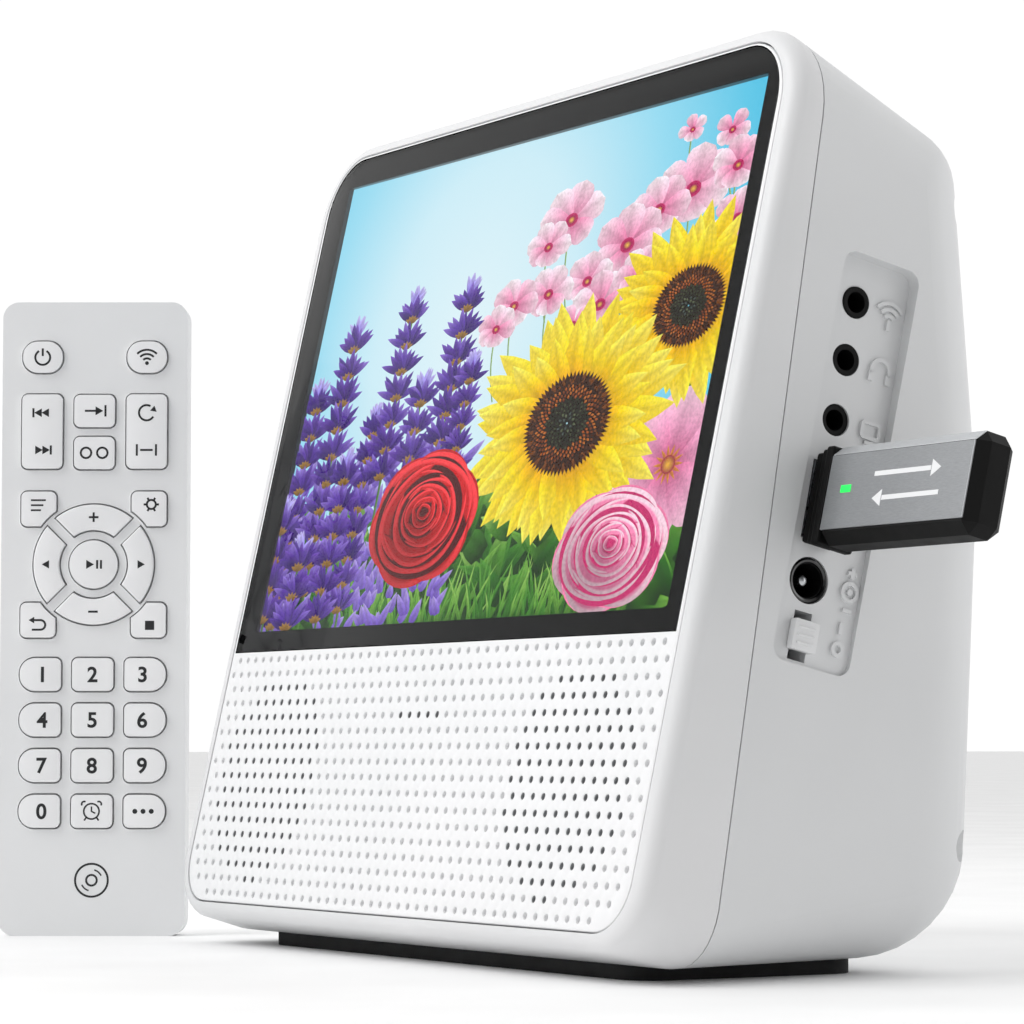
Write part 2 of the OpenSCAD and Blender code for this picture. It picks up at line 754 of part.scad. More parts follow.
module remote_back() {
    color("white") difference() {
        keyed(0, half_t) panel(remote_w, 0, remote_h, remote_r, remote_r);
        keyed(-1, half_t - skin_t) panel(remote_w - 2 * skin_t, skin_t, remote_h - skin_t, 2, 2);
    }
}

// Circuit board on the back shell, with its button cell and infrared lamp
module remote_board() {
    thick = 1;
    color("darkgreen") union() {
        keyed(half_t - skin_t - thick, half_t - skin_t) panel(remote_w - 6, 4, remote_h - 6, 1, 1);
        at_remote() translate([0, 0, remote_h - 6]) block(-2.5, 2.5, -0.6, half_t - skin_t, -2, 4.2);
        at_remote() rod_y(0, 13, half_t - skin_t - thick - cell_t, half_t - skin_t - thick + eps, cell_r);
    }
}

front_shell();
rear_shell();
base_pad();
fascia_panel();
screen_glass();
lcd_panel();
left_speaker();
right_speaker();
main_board();
port_board();
fm_jack();
headphone_jack();
av_jack();
usb_port();
dc_jack();
power_slider();
ir_receiver();
disc_door();
door_pins();
door_button();
drive_chassis();
spindle_motor();
turntable();
pickup_sled();
guide_rods();
lead_screw();
sled_motor();
battery_pack();
case_screws();
usb_stick();
remote_front();
remote_back();
remote_board();
for (k = KEYS) remote_key(k);
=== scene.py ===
import math
import random

import bmesh
import bpy
from mathutils import Matrix, Vector
from mathutils.geometry import delaunay_2d_cdt


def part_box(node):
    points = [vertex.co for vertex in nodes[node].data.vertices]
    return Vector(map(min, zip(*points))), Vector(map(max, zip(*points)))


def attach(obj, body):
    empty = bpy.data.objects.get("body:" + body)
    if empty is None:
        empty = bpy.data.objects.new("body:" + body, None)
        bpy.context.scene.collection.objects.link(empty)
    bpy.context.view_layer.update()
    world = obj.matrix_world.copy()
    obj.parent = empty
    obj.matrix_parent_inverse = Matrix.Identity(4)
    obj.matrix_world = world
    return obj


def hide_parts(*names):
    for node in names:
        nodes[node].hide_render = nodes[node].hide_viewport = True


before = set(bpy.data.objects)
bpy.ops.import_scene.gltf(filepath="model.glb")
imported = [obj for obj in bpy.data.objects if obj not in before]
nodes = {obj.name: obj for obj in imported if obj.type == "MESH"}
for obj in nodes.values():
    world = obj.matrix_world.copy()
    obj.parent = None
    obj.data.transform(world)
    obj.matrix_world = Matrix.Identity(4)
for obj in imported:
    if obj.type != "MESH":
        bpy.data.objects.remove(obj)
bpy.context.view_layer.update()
scene = bpy.context.scene

MM = 0.001
TURN = 2 * math.pi

# Sizes shared with the CAD part, in millimetres, and angles in radians
TILT = math.radians(13)
GLASS_TOP = 104
GLASS_LOW = 0.15
GLASS_W = 162
GLASS_T = 1.5
GLASS_R = 11.5
GRILLE_H = 50.5
FASCIA_W = 164
FASCIA_TOP = 104.6
FASCIA_T = 3
FASCIA_R = 12.5
FASCIA_LOW_R = 9
LEDGE = 3
DISPLAY_W = 151
DISPLAY_LOW = 4.5
DISPLAY_TOP = 98.7
HOLE_PITCH = 3.4
HOLE_R = 0.65
ROW_PITCH = HOLE_PITCH * math.sin(math.radians(60))
FIRST_ROW = -1.6
CENTRE_ROW = 4
SPEAKER_X = 56
SPEAKER_V = -25.65
SPEAKER_R = 20.4
PORT_D = 21.6
JACK_V = (62.8, 52.6, 42)
USB_V = 27.6
DC_V = 14
SWITCH_V = 4.4
FIELD_SLOPE = math.radians(1.6)
FIELD_FLOOR = 84.17
FIELD_MID_V = 35.05
MOUTH = 84.6
REMOTE_TURN = math.radians(59)
REMOTE_AT = (-116.6, -42)
REMOTE_FACE = 4
KEY_RISE = 0.9
CAP_TOP = 86.9
COL = 10.9
ROW = 9.45
RING_V = 77
RING_R = 12.5
RING_BORE_R = 7.2
DIGITS_V = 54.1


def put(node, values):
    """Sets a node's input sockets by name."""
    for name, value in values.items():
        node.inputs[name].default_value = value


def axes(origin, x, y, z):
    """Matrix of a drawing plane: x and y lie in it and z stands on it, in millimetres."""
    m = Matrix.Identity(4)
    for column, axis in enumerate((x, y, z)):
        for row in range(3):
            m[row][column] = axis[row] * MM
    for row in range(3):
        m[row][3] = origin[row]
    return m


def plane_at(base, x, y, z):
    """The same plane with its origin moved by x, y and z millimetres along its own axes."""
    return base @ Matrix.Translation((x, y, z))


# The front face's own frame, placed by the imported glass
glass_low, glass_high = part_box("screen_glass")
up = Vector((0, math.sin(TILT), math.cos(TILT)))
inward = Vector((0, math.cos(TILT), -math.sin(TILT)))
corner = Vector((0, glass_low.y - GLASS_LOW * math.sin(TILT) * MM, glass_high.z - GLASS_TOP * math.cos(TILT) * MM))
FRONT = axes(corner, Vector((1, 0, 0)), up, -inward)
FIELD = axes(
    corner + Vector((FIELD_FLOOR * MM, 0, 0)) + up * FIELD_MID_V * MM,
    inward,
    up * math.cos(FIELD_SLOPE) - Vector((math.sin(FIELD_SLOPE), 0, 0)),
    Vector((math.cos(FIELD_SLOPE), 0, 0)) + up * math.sin(FIELD_SLOPE),
)
across = Vector((math.cos(REMOTE_TURN), math.sin(REMOTE_TURN), 0))
outward = Vector((math.sin(REMOTE_TURN), -math.cos(REMOTE_TURN), 0))
REMOTE = axes(
    Vector((REMOTE_AT[0], REMOTE_AT[1], 0)) * MM + outward * REMOTE_FACE * MM, across, Vector((0, 0, 1)), outward
)

# ---- camera, light and floor


def aim(obj, azimuth, elevation):
    """Turns obj to look back along that direction from the object."""
    a = math.radians(azimuth)
    e = math.radians(elevation)
    back = Vector((math.sin(a) * math.cos(e), -math.cos(a) * math.cos(e), math.sin(e)))
    obj.rotation_mode = "QUATERNION"
    obj.rotation_quaternion = (-back).to_track_quat("-Z", "Y")
    return back


# Fitted to the photo: place in metres, direction in degrees
CAMERA_LENS = 126.8
CAMERA_PLACE = (0.5765, -0.3537, 0.0389)
CAMERA_AZIMUTH = 59.2
CAMERA_ELEVATION = -3.74
BODY_MIDDLE = Vector((0, 0, 0.08))

camera = bpy.data.objects.new("camera", bpy.data.cameras.new("camera"))
scene.collection.objects.link(camera)
camera.data.lens = CAMERA_LENS
camera.data.clip_start = 0.01
camera.location = CAMERA_PLACE
aim(camera, CAMERA_AZIMUTH, CAMERA_ELEVATION)
scene.camera = camera
scene.view_settings.view_transform = "Standard"


def lamp(name, azimuth, elevation, distance, size, power):
    """A square soft light that shines on the middle of the body from that direction."""
    data = bpy.data.lights.new(name, "AREA")
    data.shape = "SQUARE"
    data.size = size
    data.energy = power
    obj = bpy.data.objects.new(name, data)
    scene.collection.objects.link(obj)
    obj.location = BODY_MIDDLE + aim(obj, azimuth, elevation) * distance


lamp("key_light", azimuth=-12, elevation=40, distance=1.1, size=0.7, power=6.2)
lamp("side_light", azimuth=146, elevation=12, distance=0.9, size=0.6, power=1.1)

STUDIO_STRENGTH = 1.02
# Direction, where along it the fall-off starts and ends, and how dark it gets
STUDIO_FALLS = (((0, 1, 0), -0.40, -0.56, 0.45), ((1, 0, 0), 0.0, 0.95, 0.34))


def studio():
    """White room that falls off to grey in front of the object and on its right."""
    world = bpy.data.worlds.new("studio")
    scene.world = world
    world.use_nodes = True
    tree = world.node_tree
    where = tree.nodes.new("ShaderNodeTexCoord").outputs["Generated"]
    total = None
    for axis, near, far, dark in STUDIO_FALLS:
        along = tree.nodes.new("ShaderNodeVectorMath")
        along.operation = "DOT_PRODUCT"
        along.inputs[1].default_value = axis
        tree.links.new(where, along.inputs[0])
        fall = tree.nodes.new("ShaderNodeMapRange")
        fall.interpolation_type = "SMOOTHSTEP"
        put(fall, {"From Min": near, "From Max": far, "To Min": 1, "To Max": dark})
        tree.links.new(along.outputs["Value"], fall.inputs["Value"])
        if total is None:
            total = fall.outputs["Result"]
            continue
        product = tree.nodes.new("ShaderNodeMath")
        product.operation = "MULTIPLY"
        tree.links.new(total, product.inputs[0])
        tree.links.new(fall.outputs["Result"], product.inputs[1])
        total = product.outputs["Value"]
    tree.links.new(total, tree.nodes["Background"].inputs["Color"])
    tree.nodes["Background"].inputs["Strength"].default_value = STUDIO_STRENGTH


studio()

# ---- materials


def rgb(code):
    """Linear colour of a six-digit sRGB code."""
    parts = [int(code[i : i + 2], 16) / 255 for i in (0, 2, 4)]
    return tuple(c / 12.92 if c <= 0.04045 else ((c + 0.055) / 1.055) ** 2.4 for c in parts)


def fresh(name):
    """A new material, its node tree and its main shader."""
    m = bpy.data.materials.new(name)
    m.use_nodes = True
    return m, m.node_tree, m.node_tree.nodes["Principled BSDF"]


def noise(tree, scale, detail, stretch=None):
    """Noise in the object's own space, with its grain drawn out along an axis if stretch is given."""
    where = tree.nodes.new("ShaderNodeTexCoord").outputs["Object"]
    if stretch:
        mapping = tree.nodes.new("ShaderNodeMapping")
        mapping.inputs["Scale"].default_value = stretch
        tree.links.new(where, mapping.inputs["Vector"])
        where = mapping.outputs["Vector"]
    n = tree.nodes.new("ShaderNodeTexNoise")
    put(n, {"Scale": scale, "Detail": detail})
    tree.links.new(where, n.inputs["Vector"])
    return n.outputs["Fac"]


def spread(tree, source, low, high):
    """Maps noise, which lies mostly between 0.3 and 0.7, to the range from low to high."""
    r = tree.nodes.new("ShaderNodeMapRange")
    put(r, {"From Min": 0.3, "From Max": 0.7, "To Min": low, "To Max": high})
    tree.links.new(source, r.inputs["Value"])
    return r.outputs["Result"]


def ramp(tree, source, stops):
    """Colour ramp through (place, colour code) stops."""
    r = tree.nodes.new("ShaderNodeValToRGB")
    for i, (place, code) in enumerate(stops):
        e = r.color_ramp.elements[i] if i < 2 else r.color_ramp.elements.new(place)
        e.position = place
        e.color = (*rgb(code), 1)
    tree.links.new(source, r.inputs["Fac"])
    return r.outputs["Color"]


def bump(tree, shader, height, distance, strength):
    """Fine relief of that depth in metres."""
    b = tree.nodes.new("ShaderNodeBump")
    put(b, {"Strength": strength, "Distance": distance})
    tree.links.new(height, b.inputs["Height"])
    tree.links.new(b.outputs["Normal"], shader.inputs["Normal"])


def moulded(name, dark, light, rough, grain=9000, depth=0.00002, coat=0.0, relief=0.2, specular=0.5):
    """Moulded plastic: two close shades, a fine spark-eroded grain and slightly uneven gloss."""
    m, tree, shader = fresh(name)
    cloud = noise(tree, 18, 2)
    tree.links.new(ramp(tree, cloud, [(0.3, dark), (0.7, light)]), shader.inputs["Base Color"])
    tree.links.new(spread(tree, noise(tree, 260, 4), rough - 0.04, rough + 0.04), shader.inputs["Roughness"])
    put(shader, {"Specular IOR Level": specular, "Coat Weight": coat, "Coat Roughness": 0.12})
    bump(tree, shader, noise(tree, grain, 2), depth, relief)
    return m


def metal(name, dark, light, rough, stretch=(1, 1, 1), depth=0.00001):
    """Bare or plated metal with drawn-out polishing marks."""
    m, tree, shader = fresh(name)
    shader.inputs["Metallic"].default_value = 1
    marks = noise(tree, 900, 4, stretch)
    tree.links.new(ramp(tree, marks, [(0.3, dark), (0.7, light)]), shader.inputs["Base Color"])
    tree.links.new(spread(tree, marks, rough - 0.06, rough + 0.08), shader.inputs["Roughness"])
    bump(tree, shader, marks, depth, 0.25)
    return m


def circuit_material():
    """Green solder mask with paler tracks."""
    m, tree, shader = fresh("solder_mask")
    where = tree.nodes.new("ShaderNodeTexCoord").outputs["Object"]
    cells = tree.nodes.new("ShaderNodeTexVoronoi")
    cells.distance = "MANHATTAN"
    cells.inputs["Scale"].default_value = 260
    tree.links.new(where, cells.inputs["Vector"])
    stops = [(0.0, "0d3a1c"), (0.35, "14512a"), (0.42, "2c7a44")]
    tree.links.new(ramp(tree, cells.outputs["Distance"], stops), shader.inputs["Base Color"])
    shader.inputs["Roughness"].default_value = 0.35
    bump(tree, shader, cells.outputs["Distance"], 0.00003, 0.3)
    return m


def glass_material():
    """Clear cover glass, with the faintest waviness in its polish."""
    m, tree, shader = fresh("cover_glass")
    tree.links.new(ramp(tree, noise(tree, 6, 1), [(0.3, "fbfdfd"), (0.7, "ffffff")]), shader.inputs["Base Color"])
    put(shader, {"Roughness": 0.0, "IOR": 1.15, "Transmission Weight": 1})
    bump(tree, shader, noise(tree, 14, 1), 0.00001, 0.05)
    return m


def lit(shader):
    """Makes a shader give light of its own and mirror nothing."""
    put(shader, {"Base Color": (0, 0, 0, 1), "Emission Strength": 1, "Roughness": 0.6, "Specular IOR Level": 0})


def painted_light_material():
    """Lit picture elements: the colours painted on the mesh, broken up as a display's picture is."""
    m, tree, shader = fresh("picture_light")
    paint = tree.nodes.new("ShaderNodeVertexColor")
    paint.layer_name = "paint"
    grain = spread(tree, noise(tree, 1500, 3), 0.84, 1.14)
    mix = tree.nodes.new("ShaderNodeVectorMath")
    mix.operation = "SCALE"
    tree.links.new(paint.outputs["Color"], mix.inputs[0])
    tree.links.new(grain, mix.inputs["Scale"])
    tree.links.new(mix.outputs[0], shader.inputs["Emission Color"])
    lit(shader)
    return m


def sky_material():
    """Lit sky, deeper blue towards the upper corners and pale over the flowers."""
    m, tree, shader = fresh("picture_sky_light")
    where = tree.nodes.new("ShaderNodeTexCoord").outputs["Object"]
    far = tree.nodes.new("ShaderNodeVectorMath")
    far.operation = "DISTANCE"
    far.inputs[1].default_value = SKY_CENTRE
    tree.links.new(where, far.inputs[0])
    reach = tree.nodes.new("ShaderNodeMapRange")
    reach.inputs["From Max"].default_value = 0.105
    tree.links.new(far.outputs["Value"], reach.inputs["Value"])
    stops = [(0.0, "e2f5fb"), (0.35, "cdeef9"), (0.62, "94dcf3"), (0.85, "5cc9ea"), (1.0, "3fbbe3")]
    tree.links.new(ramp(tree, reach.outputs["Result"], stops), shader.inputs["Emission Color"])
    lit(shader)
    return m


SKY_BACK = -2.46
SKY_FACE = -2.4
SKY_CENTRE = FRONT @ Vector((-14, 60, SKY_FACE))
WHITE = moulded("white_abs", "dedfe0", "e6e6e7", 0.42)
GREY = moulded("rear_abs", "d9dadb", "e0e1e2", 0.44)
PANEL = moulded("fascia_white", "eeeff0", "f4f4f5", 0.4)
REMOTE_WHITE = moulded("remote_white", "e8e9ea", "edeeef", 0.42)
KEY_WHITE = moulded("key_white", "eff0f1", "f6f6f7", 0.4)
SOCKET_BLACK = moulded("socket_black", "030303", "060606", 0.6, specular=0.2)
BLACK = moulded("black_plastic", "08080a", "0f1012", 0.34, relief=0.3)
GLOSS_BLACK = moulded("gloss_black", "050506", "0a0a0b", 0.12, depth=0.000004, coat=0.6, relief=0.1)
INK = moulded("legend_ink", "17181a", "222326", 0.55, relief=0.15)
PAINT_BLACK = moulded("border_ink", "040405", "070708", 0.7, relief=0.05, specular=0)
# Black rubber for the base pad; its black also paints in the dark band of shade under the body
PAD_RUBBER_AND_SHADE = moulded("pad_rubber", "0b0b0c", "161617", 0.8, 2500, 0.0001, relief=0.5)
CHASSIS = moulded("chassis_plastic", "3b4046", "4a5057", 0.5)
WRAP = moulded("battery_wrap", "1c3f8f", "2550ab", 0.38, 1200, 0.00003)
CONE = moulded("speaker_cone", "17181a", "26282b", 0.7, 1600, 0.0001, relief=0.5)
STEEL = metal("plated_steel", "a9acb0", "d0d3d6", 0.3, depth=0.000003)
ANODISED = metal("anodised_grey", "9a9c9f", "b6b8ba", 0.42, (1, 40, 40))
TRIM = metal("bright_edge", "d4d6d8", "e8eaec", 0.5, (1, 40, 40), 0.000002)
CIRCUIT = circuit_material()
GLASS = glass_material()
PICTURE = painted_light_material()
SKY = sky_material()
# Grey painted shade for the walls of the open grille holes, where the white plastic lies in shadow
PAINTED_HOLE_SHADE = moulded("hole_shade", "8f9193", "a0a2a4", 0.6)
LED = moulded("indicator_green", "1fd655", "39f06c", 0.3)
put(LED.node_tree.nodes["Principled BSDF"], {"Emission Color": (0.02, 0.9, 0.12, 1), "Emission Strength": 0.6})

# ---- mesh tools


def piece(name, bm, where, material, body="player"):
    """Makes a named piece from a bmesh drawn in a plane's millimetres, and lets it ride on a body."""
    bmesh.ops.remove_doubles(bm, verts=bm.verts, dist=0.0001)
    bmesh.ops.recalc_face_normals(bm, faces=bm.faces)
    mesh = bpy.data.meshes.new(name)
    bm.to_mesh(mesh)
    bm.free()
    mesh.transform(where)
    for m in material if isinstance(material, list) else [material]:
        mesh.materials.append(m)
    obj = bpy.data.objects.new(name, mesh)
    scene.collection.objects.link(obj)
    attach(obj, body)
    return obj


def smooth_by_angle(limit):
    """Modifier group that shades smooth except across edges sharper than limit degrees."""
    name = f"smooth_{limit}"
    if name in bpy.data.node_groups:
        return bpy.data.node_groups[name]
    group = bpy.data.node_groups.new(name, "GeometryNodeTree")
    group.interface.new_socket("Geometry", in_out="INPUT", socket_type="NodeSocketGeometry")
    group.interface.new_socket("Geometry", in_out="OUTPUT", socket_type="NodeSocketGeometry")
    start = group.nodes.new("NodeGroupInput")
    end = group.nodes.new("NodeGroupOutput")
    faces = group.nodes.new("GeometryNodeSetShadeSmooth")
    faces.domain = "FACE"
    edges = group.nodes.new("GeometryNodeSetShadeSmooth")
    edges.domain = "EDGE"
    edges.inputs["Shade Smooth"].default_value = False
    angle = group.nodes.new("GeometryNodeInputMeshEdgeAngle")
    sharp = group.nodes.new("FunctionNodeCompare")
    sharp.operation = "GREATER_THAN"
    sharp.inputs["B"].default_value = math.radians(limit)
    group.links.new(angle.outputs["Unsigned Angle"], sharp.inputs["A"])
    group.links.new(sharp.outputs["Result"], edges.inputs["Selection"])
    group.links.new(start.outputs[0], faces.inputs["Geometry"])
    group.links.new(faces.outputs[0], edges.inputs["Geometry"])
    group.links.new(edges.outputs[0], end.inputs[0])
    return group


def finish_edges(obj, width=0.0, segments=2, limit=32):
    """Joins an imported mesh's split points, rounds its sharp edges and shades the rest smooth."""
    weld = obj.modifiers.new("weld", "WELD")
    weld.merge_threshold = 0.000002
    if width:
        rounded = obj.modifiers.new("rounded", "BEVEL")
        rounded.width = width * MM
        rounded.segments = segments
        rounded.limit_method = "ANGLE"
        rounded.angle_limit = math.radians(limit)
        rounded.use_clamp_overlap = True
    smooth = obj.modifiers.new("smooth", "NODES")
    smooth.node_group = smooth_by_angle(limit)


def circle(x, y, r, count):
    """Points of a closed ring, anticlockwise."""
    steps = [TURN * i / count for i in range(count)]
    return [(x + r * math.cos(a), y + r * math.sin(a)) for a in steps]


def panel(w, low, high, r_low, r_high, steps=10):
    """Rectangle with one radius at its lower corners and another at its upper ones, anticlockwise."""
    points = []
    for sx, sy, r, a0 in ((1, -1, r_low, -90), (1, 1, r_high, 0), (-1, 1, r_high, 90), (-1, -1, r_low, 180)):
        cx = sx * (w / 2 - r)
        cy = high - r if sy > 0 else low + r
        for i in range(steps + 1 if r else 1):
            a = math.radians(a0 + 90 * i / steps)
            points.append((cx + r * math.cos(a), cy + r * math.sin(a)))
    return points


def ring(bm, points, z):
    """Vertices of an outline at that height."""
    return [bm.verts.new((x, y, z)) for x, y in points]


def bridge(bm, a, b, slot=0):
    """Quads between two rings of the same count."""
    for i in range(len(a)):
        j = (i + 1) % len(a)
        bm.faces.new((a[i], a[j], b[j], b[i])).material_index = slot


def loft(bm, rings):
    """Quads between each ring and the next."""
    for a, b in zip(rings, rings[1:]):
        bridge(bm, a, b)


def cap(bm, outer, holes, slot=0):
    """Fills the flat region between a convex outer ring and round or convex holes."""
    rings = [outer, *holes]
    verts = [v for r in rings for v in r]
    owner = [k for k, r in enumerate(rings) for _ in r]
    edges = []
    base = 0
    for r in rings:
        edges += [(base + i, base + (i + 1) % len(r)) for i in range(len(r))]
        base += len(r)
    flat = [Vector((v.co.x, v.co.y)) for v in verts]
    _, _, faces, sources, _, _ = delaunay_2d_cdt(flat, edges, [], 0, 1e-7)
    for f in faces:
        ids = [sources[i][0] for i in f]
        if owner[ids[0]] and len({owner[i] for i in ids}) == 1:
            continue
        bm.faces.new([verts[i] for i in ids]).material_index = slot


def prism(bm, points, low, high):
    """Closed plate of any outline from low to high."""
    a = ring(bm, points, low)
    b = ring(bm, points, high)
    bridge(bm, a, b)
    bm.faces.new(b)
    bm.faces.new(list(reversed(a)))


def ribbon(bm, path, width, low, high, closed=False):
    """Closed strip of even width along a path, for drawn lines."""
    count = len(path)
    left = []
    right = []
    for i, p in enumerate(path):
        before = path[i - 1] if i or closed else path[i]
        after = path[(i + 1) % count] if i < count - 1 or closed else path[i]
        a = Vector((p[0] - before[0], p[1] - before[1]))
        b = Vector((after[0] - p[0], after[1] - p[1]))
        a = a.normalized() if a.length else b.normalized()
        b = b.normalized() if b.length else a
        way = (a + b).normalized()
        side = Vector((-way.y, way.x)) * width / 2 / max(0.4, way.dot(a))
        left.append((p[0] + side.x, p[1] + side.y))
        right.append((p[0] - side.x, p[1] - side.y))
    quads = [ring(bm, side, z) for side, z in ((left, low), (right, low), (right, high), (left, high))]
    for i in range(count if closed else count - 1):
        j = (i + 1) % count
        for k in range(4):
            n = (k + 1) % 4
            bm.faces.new((quads[k][i], quads[n][i], quads[n][j], quads[k][j]))
    if not closed:
        bm.faces.new([q[0] for q in quads])
        bm.faces.new([q[-1] for q in reversed(quads)])


def arc(x, y, r, a0, a1, steps=14):
    """Points along an arc from a0 to a1 degrees."""
    angles = [math.radians(a0 + (a1 - a0) * i / steps) for i in range(steps + 1)]
    return [(x + r * math.cos(a), y + r * math.sin(a)) for a in angles]


def box(name, where, low, high, bevel, material, body="player", segments=2):
    """Box with rounded or chamfered edges, in a plane's millimetres."""
    bm = bmesh.new()
    bmesh.ops.create_cube(bm, size=1)
    size = [b - a for a, b in zip(low, high)]
    middle = [(a + b) / 2 for a, b in zip(low, high)]
    bmesh.ops.transform(bm, matrix=Matrix.LocRotScale(Vector(middle), None, Vector(size)), verts=bm.verts)
    bmesh.ops.bevel(bm, geom=list(bm.edges), offset=bevel, segments=segments, profile=0.5, affect="EDGES")
    return piece(name, bm, where, material, body)


def arrow(bm, x, y, size, turn, low, high):
    """Solid triangle that points along turn degrees."""
    points = [(0.62, 0), (-0.45, 0.62), (-0.45, -0.62)]
    a = math.radians(turn)
    c, s = math.cos(a), math.sin(a)
    prism(bm, [(x + size * (p * c - q * s), y + size * (p * s + q * c)) for p, q in points], low, high)


def turned(name, where, profile, material, count=40):
    """Closed turned shape about the plane's z axis through (radius, height) points."""
    bm = bmesh.new()
    rings = [ring(bm, circle(0, 0, r, count), z) for r, z in profile]
    loft(bm, rings)
    if profile[0] != profile[-1]:
        bm.faces.new(rings[-1])
        bm.faces.new(list(reversed(rings[0])))
    finish_edges(piece(name, bm, where, material))


# ---- fascia with its grille


def grille_holes():
    """Centres of the grille's holes, with whether each is open behind: over a speaker or the sensor."""
    holes = []
    rows = int((GRILLE_H - 1.5) / ROW_PITCH) + 1
    reach = int(FASCIA_W / HOLE_PITCH / 2) + 1
    for j in range(rows):
        v = FIRST_ROW - j * ROW_PITCH
        for i in range(-reach, reach + 1):
            x = (i + (j % 2) / 2) * HOLE_PITCH
            inset_x = max(0, abs(x) - (FASCIA_W / 2 - FASCIA_LOW_R))
            inset_v = max(0, -GRILLE_H + FASCIA_LOW_R - v)
            if abs(x) > FASCIA_W / 2 - 1.9 or v < -GRILLE_H + 1.2:
                continue
            if inset_x and inset_v and math.hypot(inset_x, inset_v) > FASCIA_LOW_R - 1.7:
                continue
            over_speaker = math.hypot(abs(x) - SPEAKER_X, v - SPEAKER_V) < SPEAKER_R
            over_sensor = j == CENTRE_ROW and abs(i) <= 2
            holes.append((x, v, over_speaker or over_sensor))
    return holes


def fascia():
    """Fascia panel: rounded outer edge, seat for the glass, window, and every hole of the grille."""
    bm = bmesh.new()
    count = 12
    soft = 0.35
    glass = panel(GLASS_W + 0.3, 0, GLASS_TOP + 0.15, 0, GLASS_R)
    window = panel(GLASS_W - 2 * LEDGE, LEDGE, GLASS_TOP - LEDGE, 1, 1)
    edge = [(soft, 0), (soft * 0.3, 0.12), (0, soft)]
    outline = [
        ring(bm, panel(FASCIA_W - 2 * i, -GRILLE_H + i, FASCIA_TOP - i, FASCIA_LOW_R - i, FASCIA_R - i), -d)
        for i, d in [*edge, (0, FASCIA_T)]
    ]
    loft(bm, outline)
    pocket = [ring(bm, glass, 0), ring(bm, glass, -GLASS_T)]
    bridge(bm, *pocket, 1)
    opening = [ring(bm, window, -GLASS_T), ring(bm, window, -FASCIA_T)]
    bridge(bm, *opening)
    fronts = []
    backs = []
    for x, v, is_open in grille_holes():
        depth = FASCIA_T if is_open else 1.3
        levels = ((HOLE_R + 0.14, 0), (HOLE_R + 0.03, 0.07), (HOLE_R, 0.18), (HOLE_R * 0.94, depth))
        rings = [ring(bm, circle(x, v, r, count), -d) for r, d in levels]
        # The open holes' deepest wall band gets the grey painted shade in slot 2
        for a, b in zip(rings, rings[1:]):
            bridge(bm, a, b, 2 if is_open and a is rings[-2] else 0)
        fronts.append(rings[0])
        if is_open:
            backs.append(rings[-1])
        else:
            bm.faces.new(rings[-1])
    cap(bm, outline[0], [pocket[0], *fronts])
    cap(bm, pocket[1], [opening[0]], 1)
    cap(bm, outline[-1], [opening[1], *backs])
    obj = piece("fascia", bm, FRONT, [PANEL, PAINT_BLACK, PAINTED_HOLE_SHADE])
    finish_edges(obj, limit=38)
    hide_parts("fascia_panel")


fascia()

# ---- cover glass, border and picture


def cover_glass():
    """Glass with ground edges, and the black border printed behind it."""
    bm = bmesh.new()
    levels = ((0.25, 0), (0.06, 0.07), (0, 0.25), (0, 1.0), (0.1, 1.1))
    rings = []
    for i, d in levels:
        shape = panel(GLASS_W - 2 * i, GLASS_LOW + i, GLASS_TOP - i, 0.3, GLASS_R - i)
        rings.append(ring(bm, shape, -d))
    loft(bm, rings)
    bm.faces.new(rings[0])
    bm.faces.new(list(reversed(rings[-1])))
    glass = piece("cover_glass", bm, FRONT, GLASS)
    finish_edges(glass)
    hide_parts("screen_glass")
    bm = bmesh.new()
    front, back = 1.16, 1.44
    outer = panel(GLASS_W - 0.3, GLASS_LOW + 0.15, GLASS_TOP - 0.15, 0.3, GLASS_R)
    inner = panel(DISPLAY_W, DISPLAY_LOW, DISPLAY_TOP, 0.8, 0.8, 6)
    a = [ring(bm, outer, -front), ring(bm, outer, -back)]
    b = [ring(bm, inner, -front), ring(bm, inner, -back)]
    bridge(bm, *a)
    bridge(bm, *b)
    cap(bm, a[0], [b[0]])
    cap(bm, a[1], [b[1]])
    piece("glass_border", bm, FRONT, PAINT_BLACK)


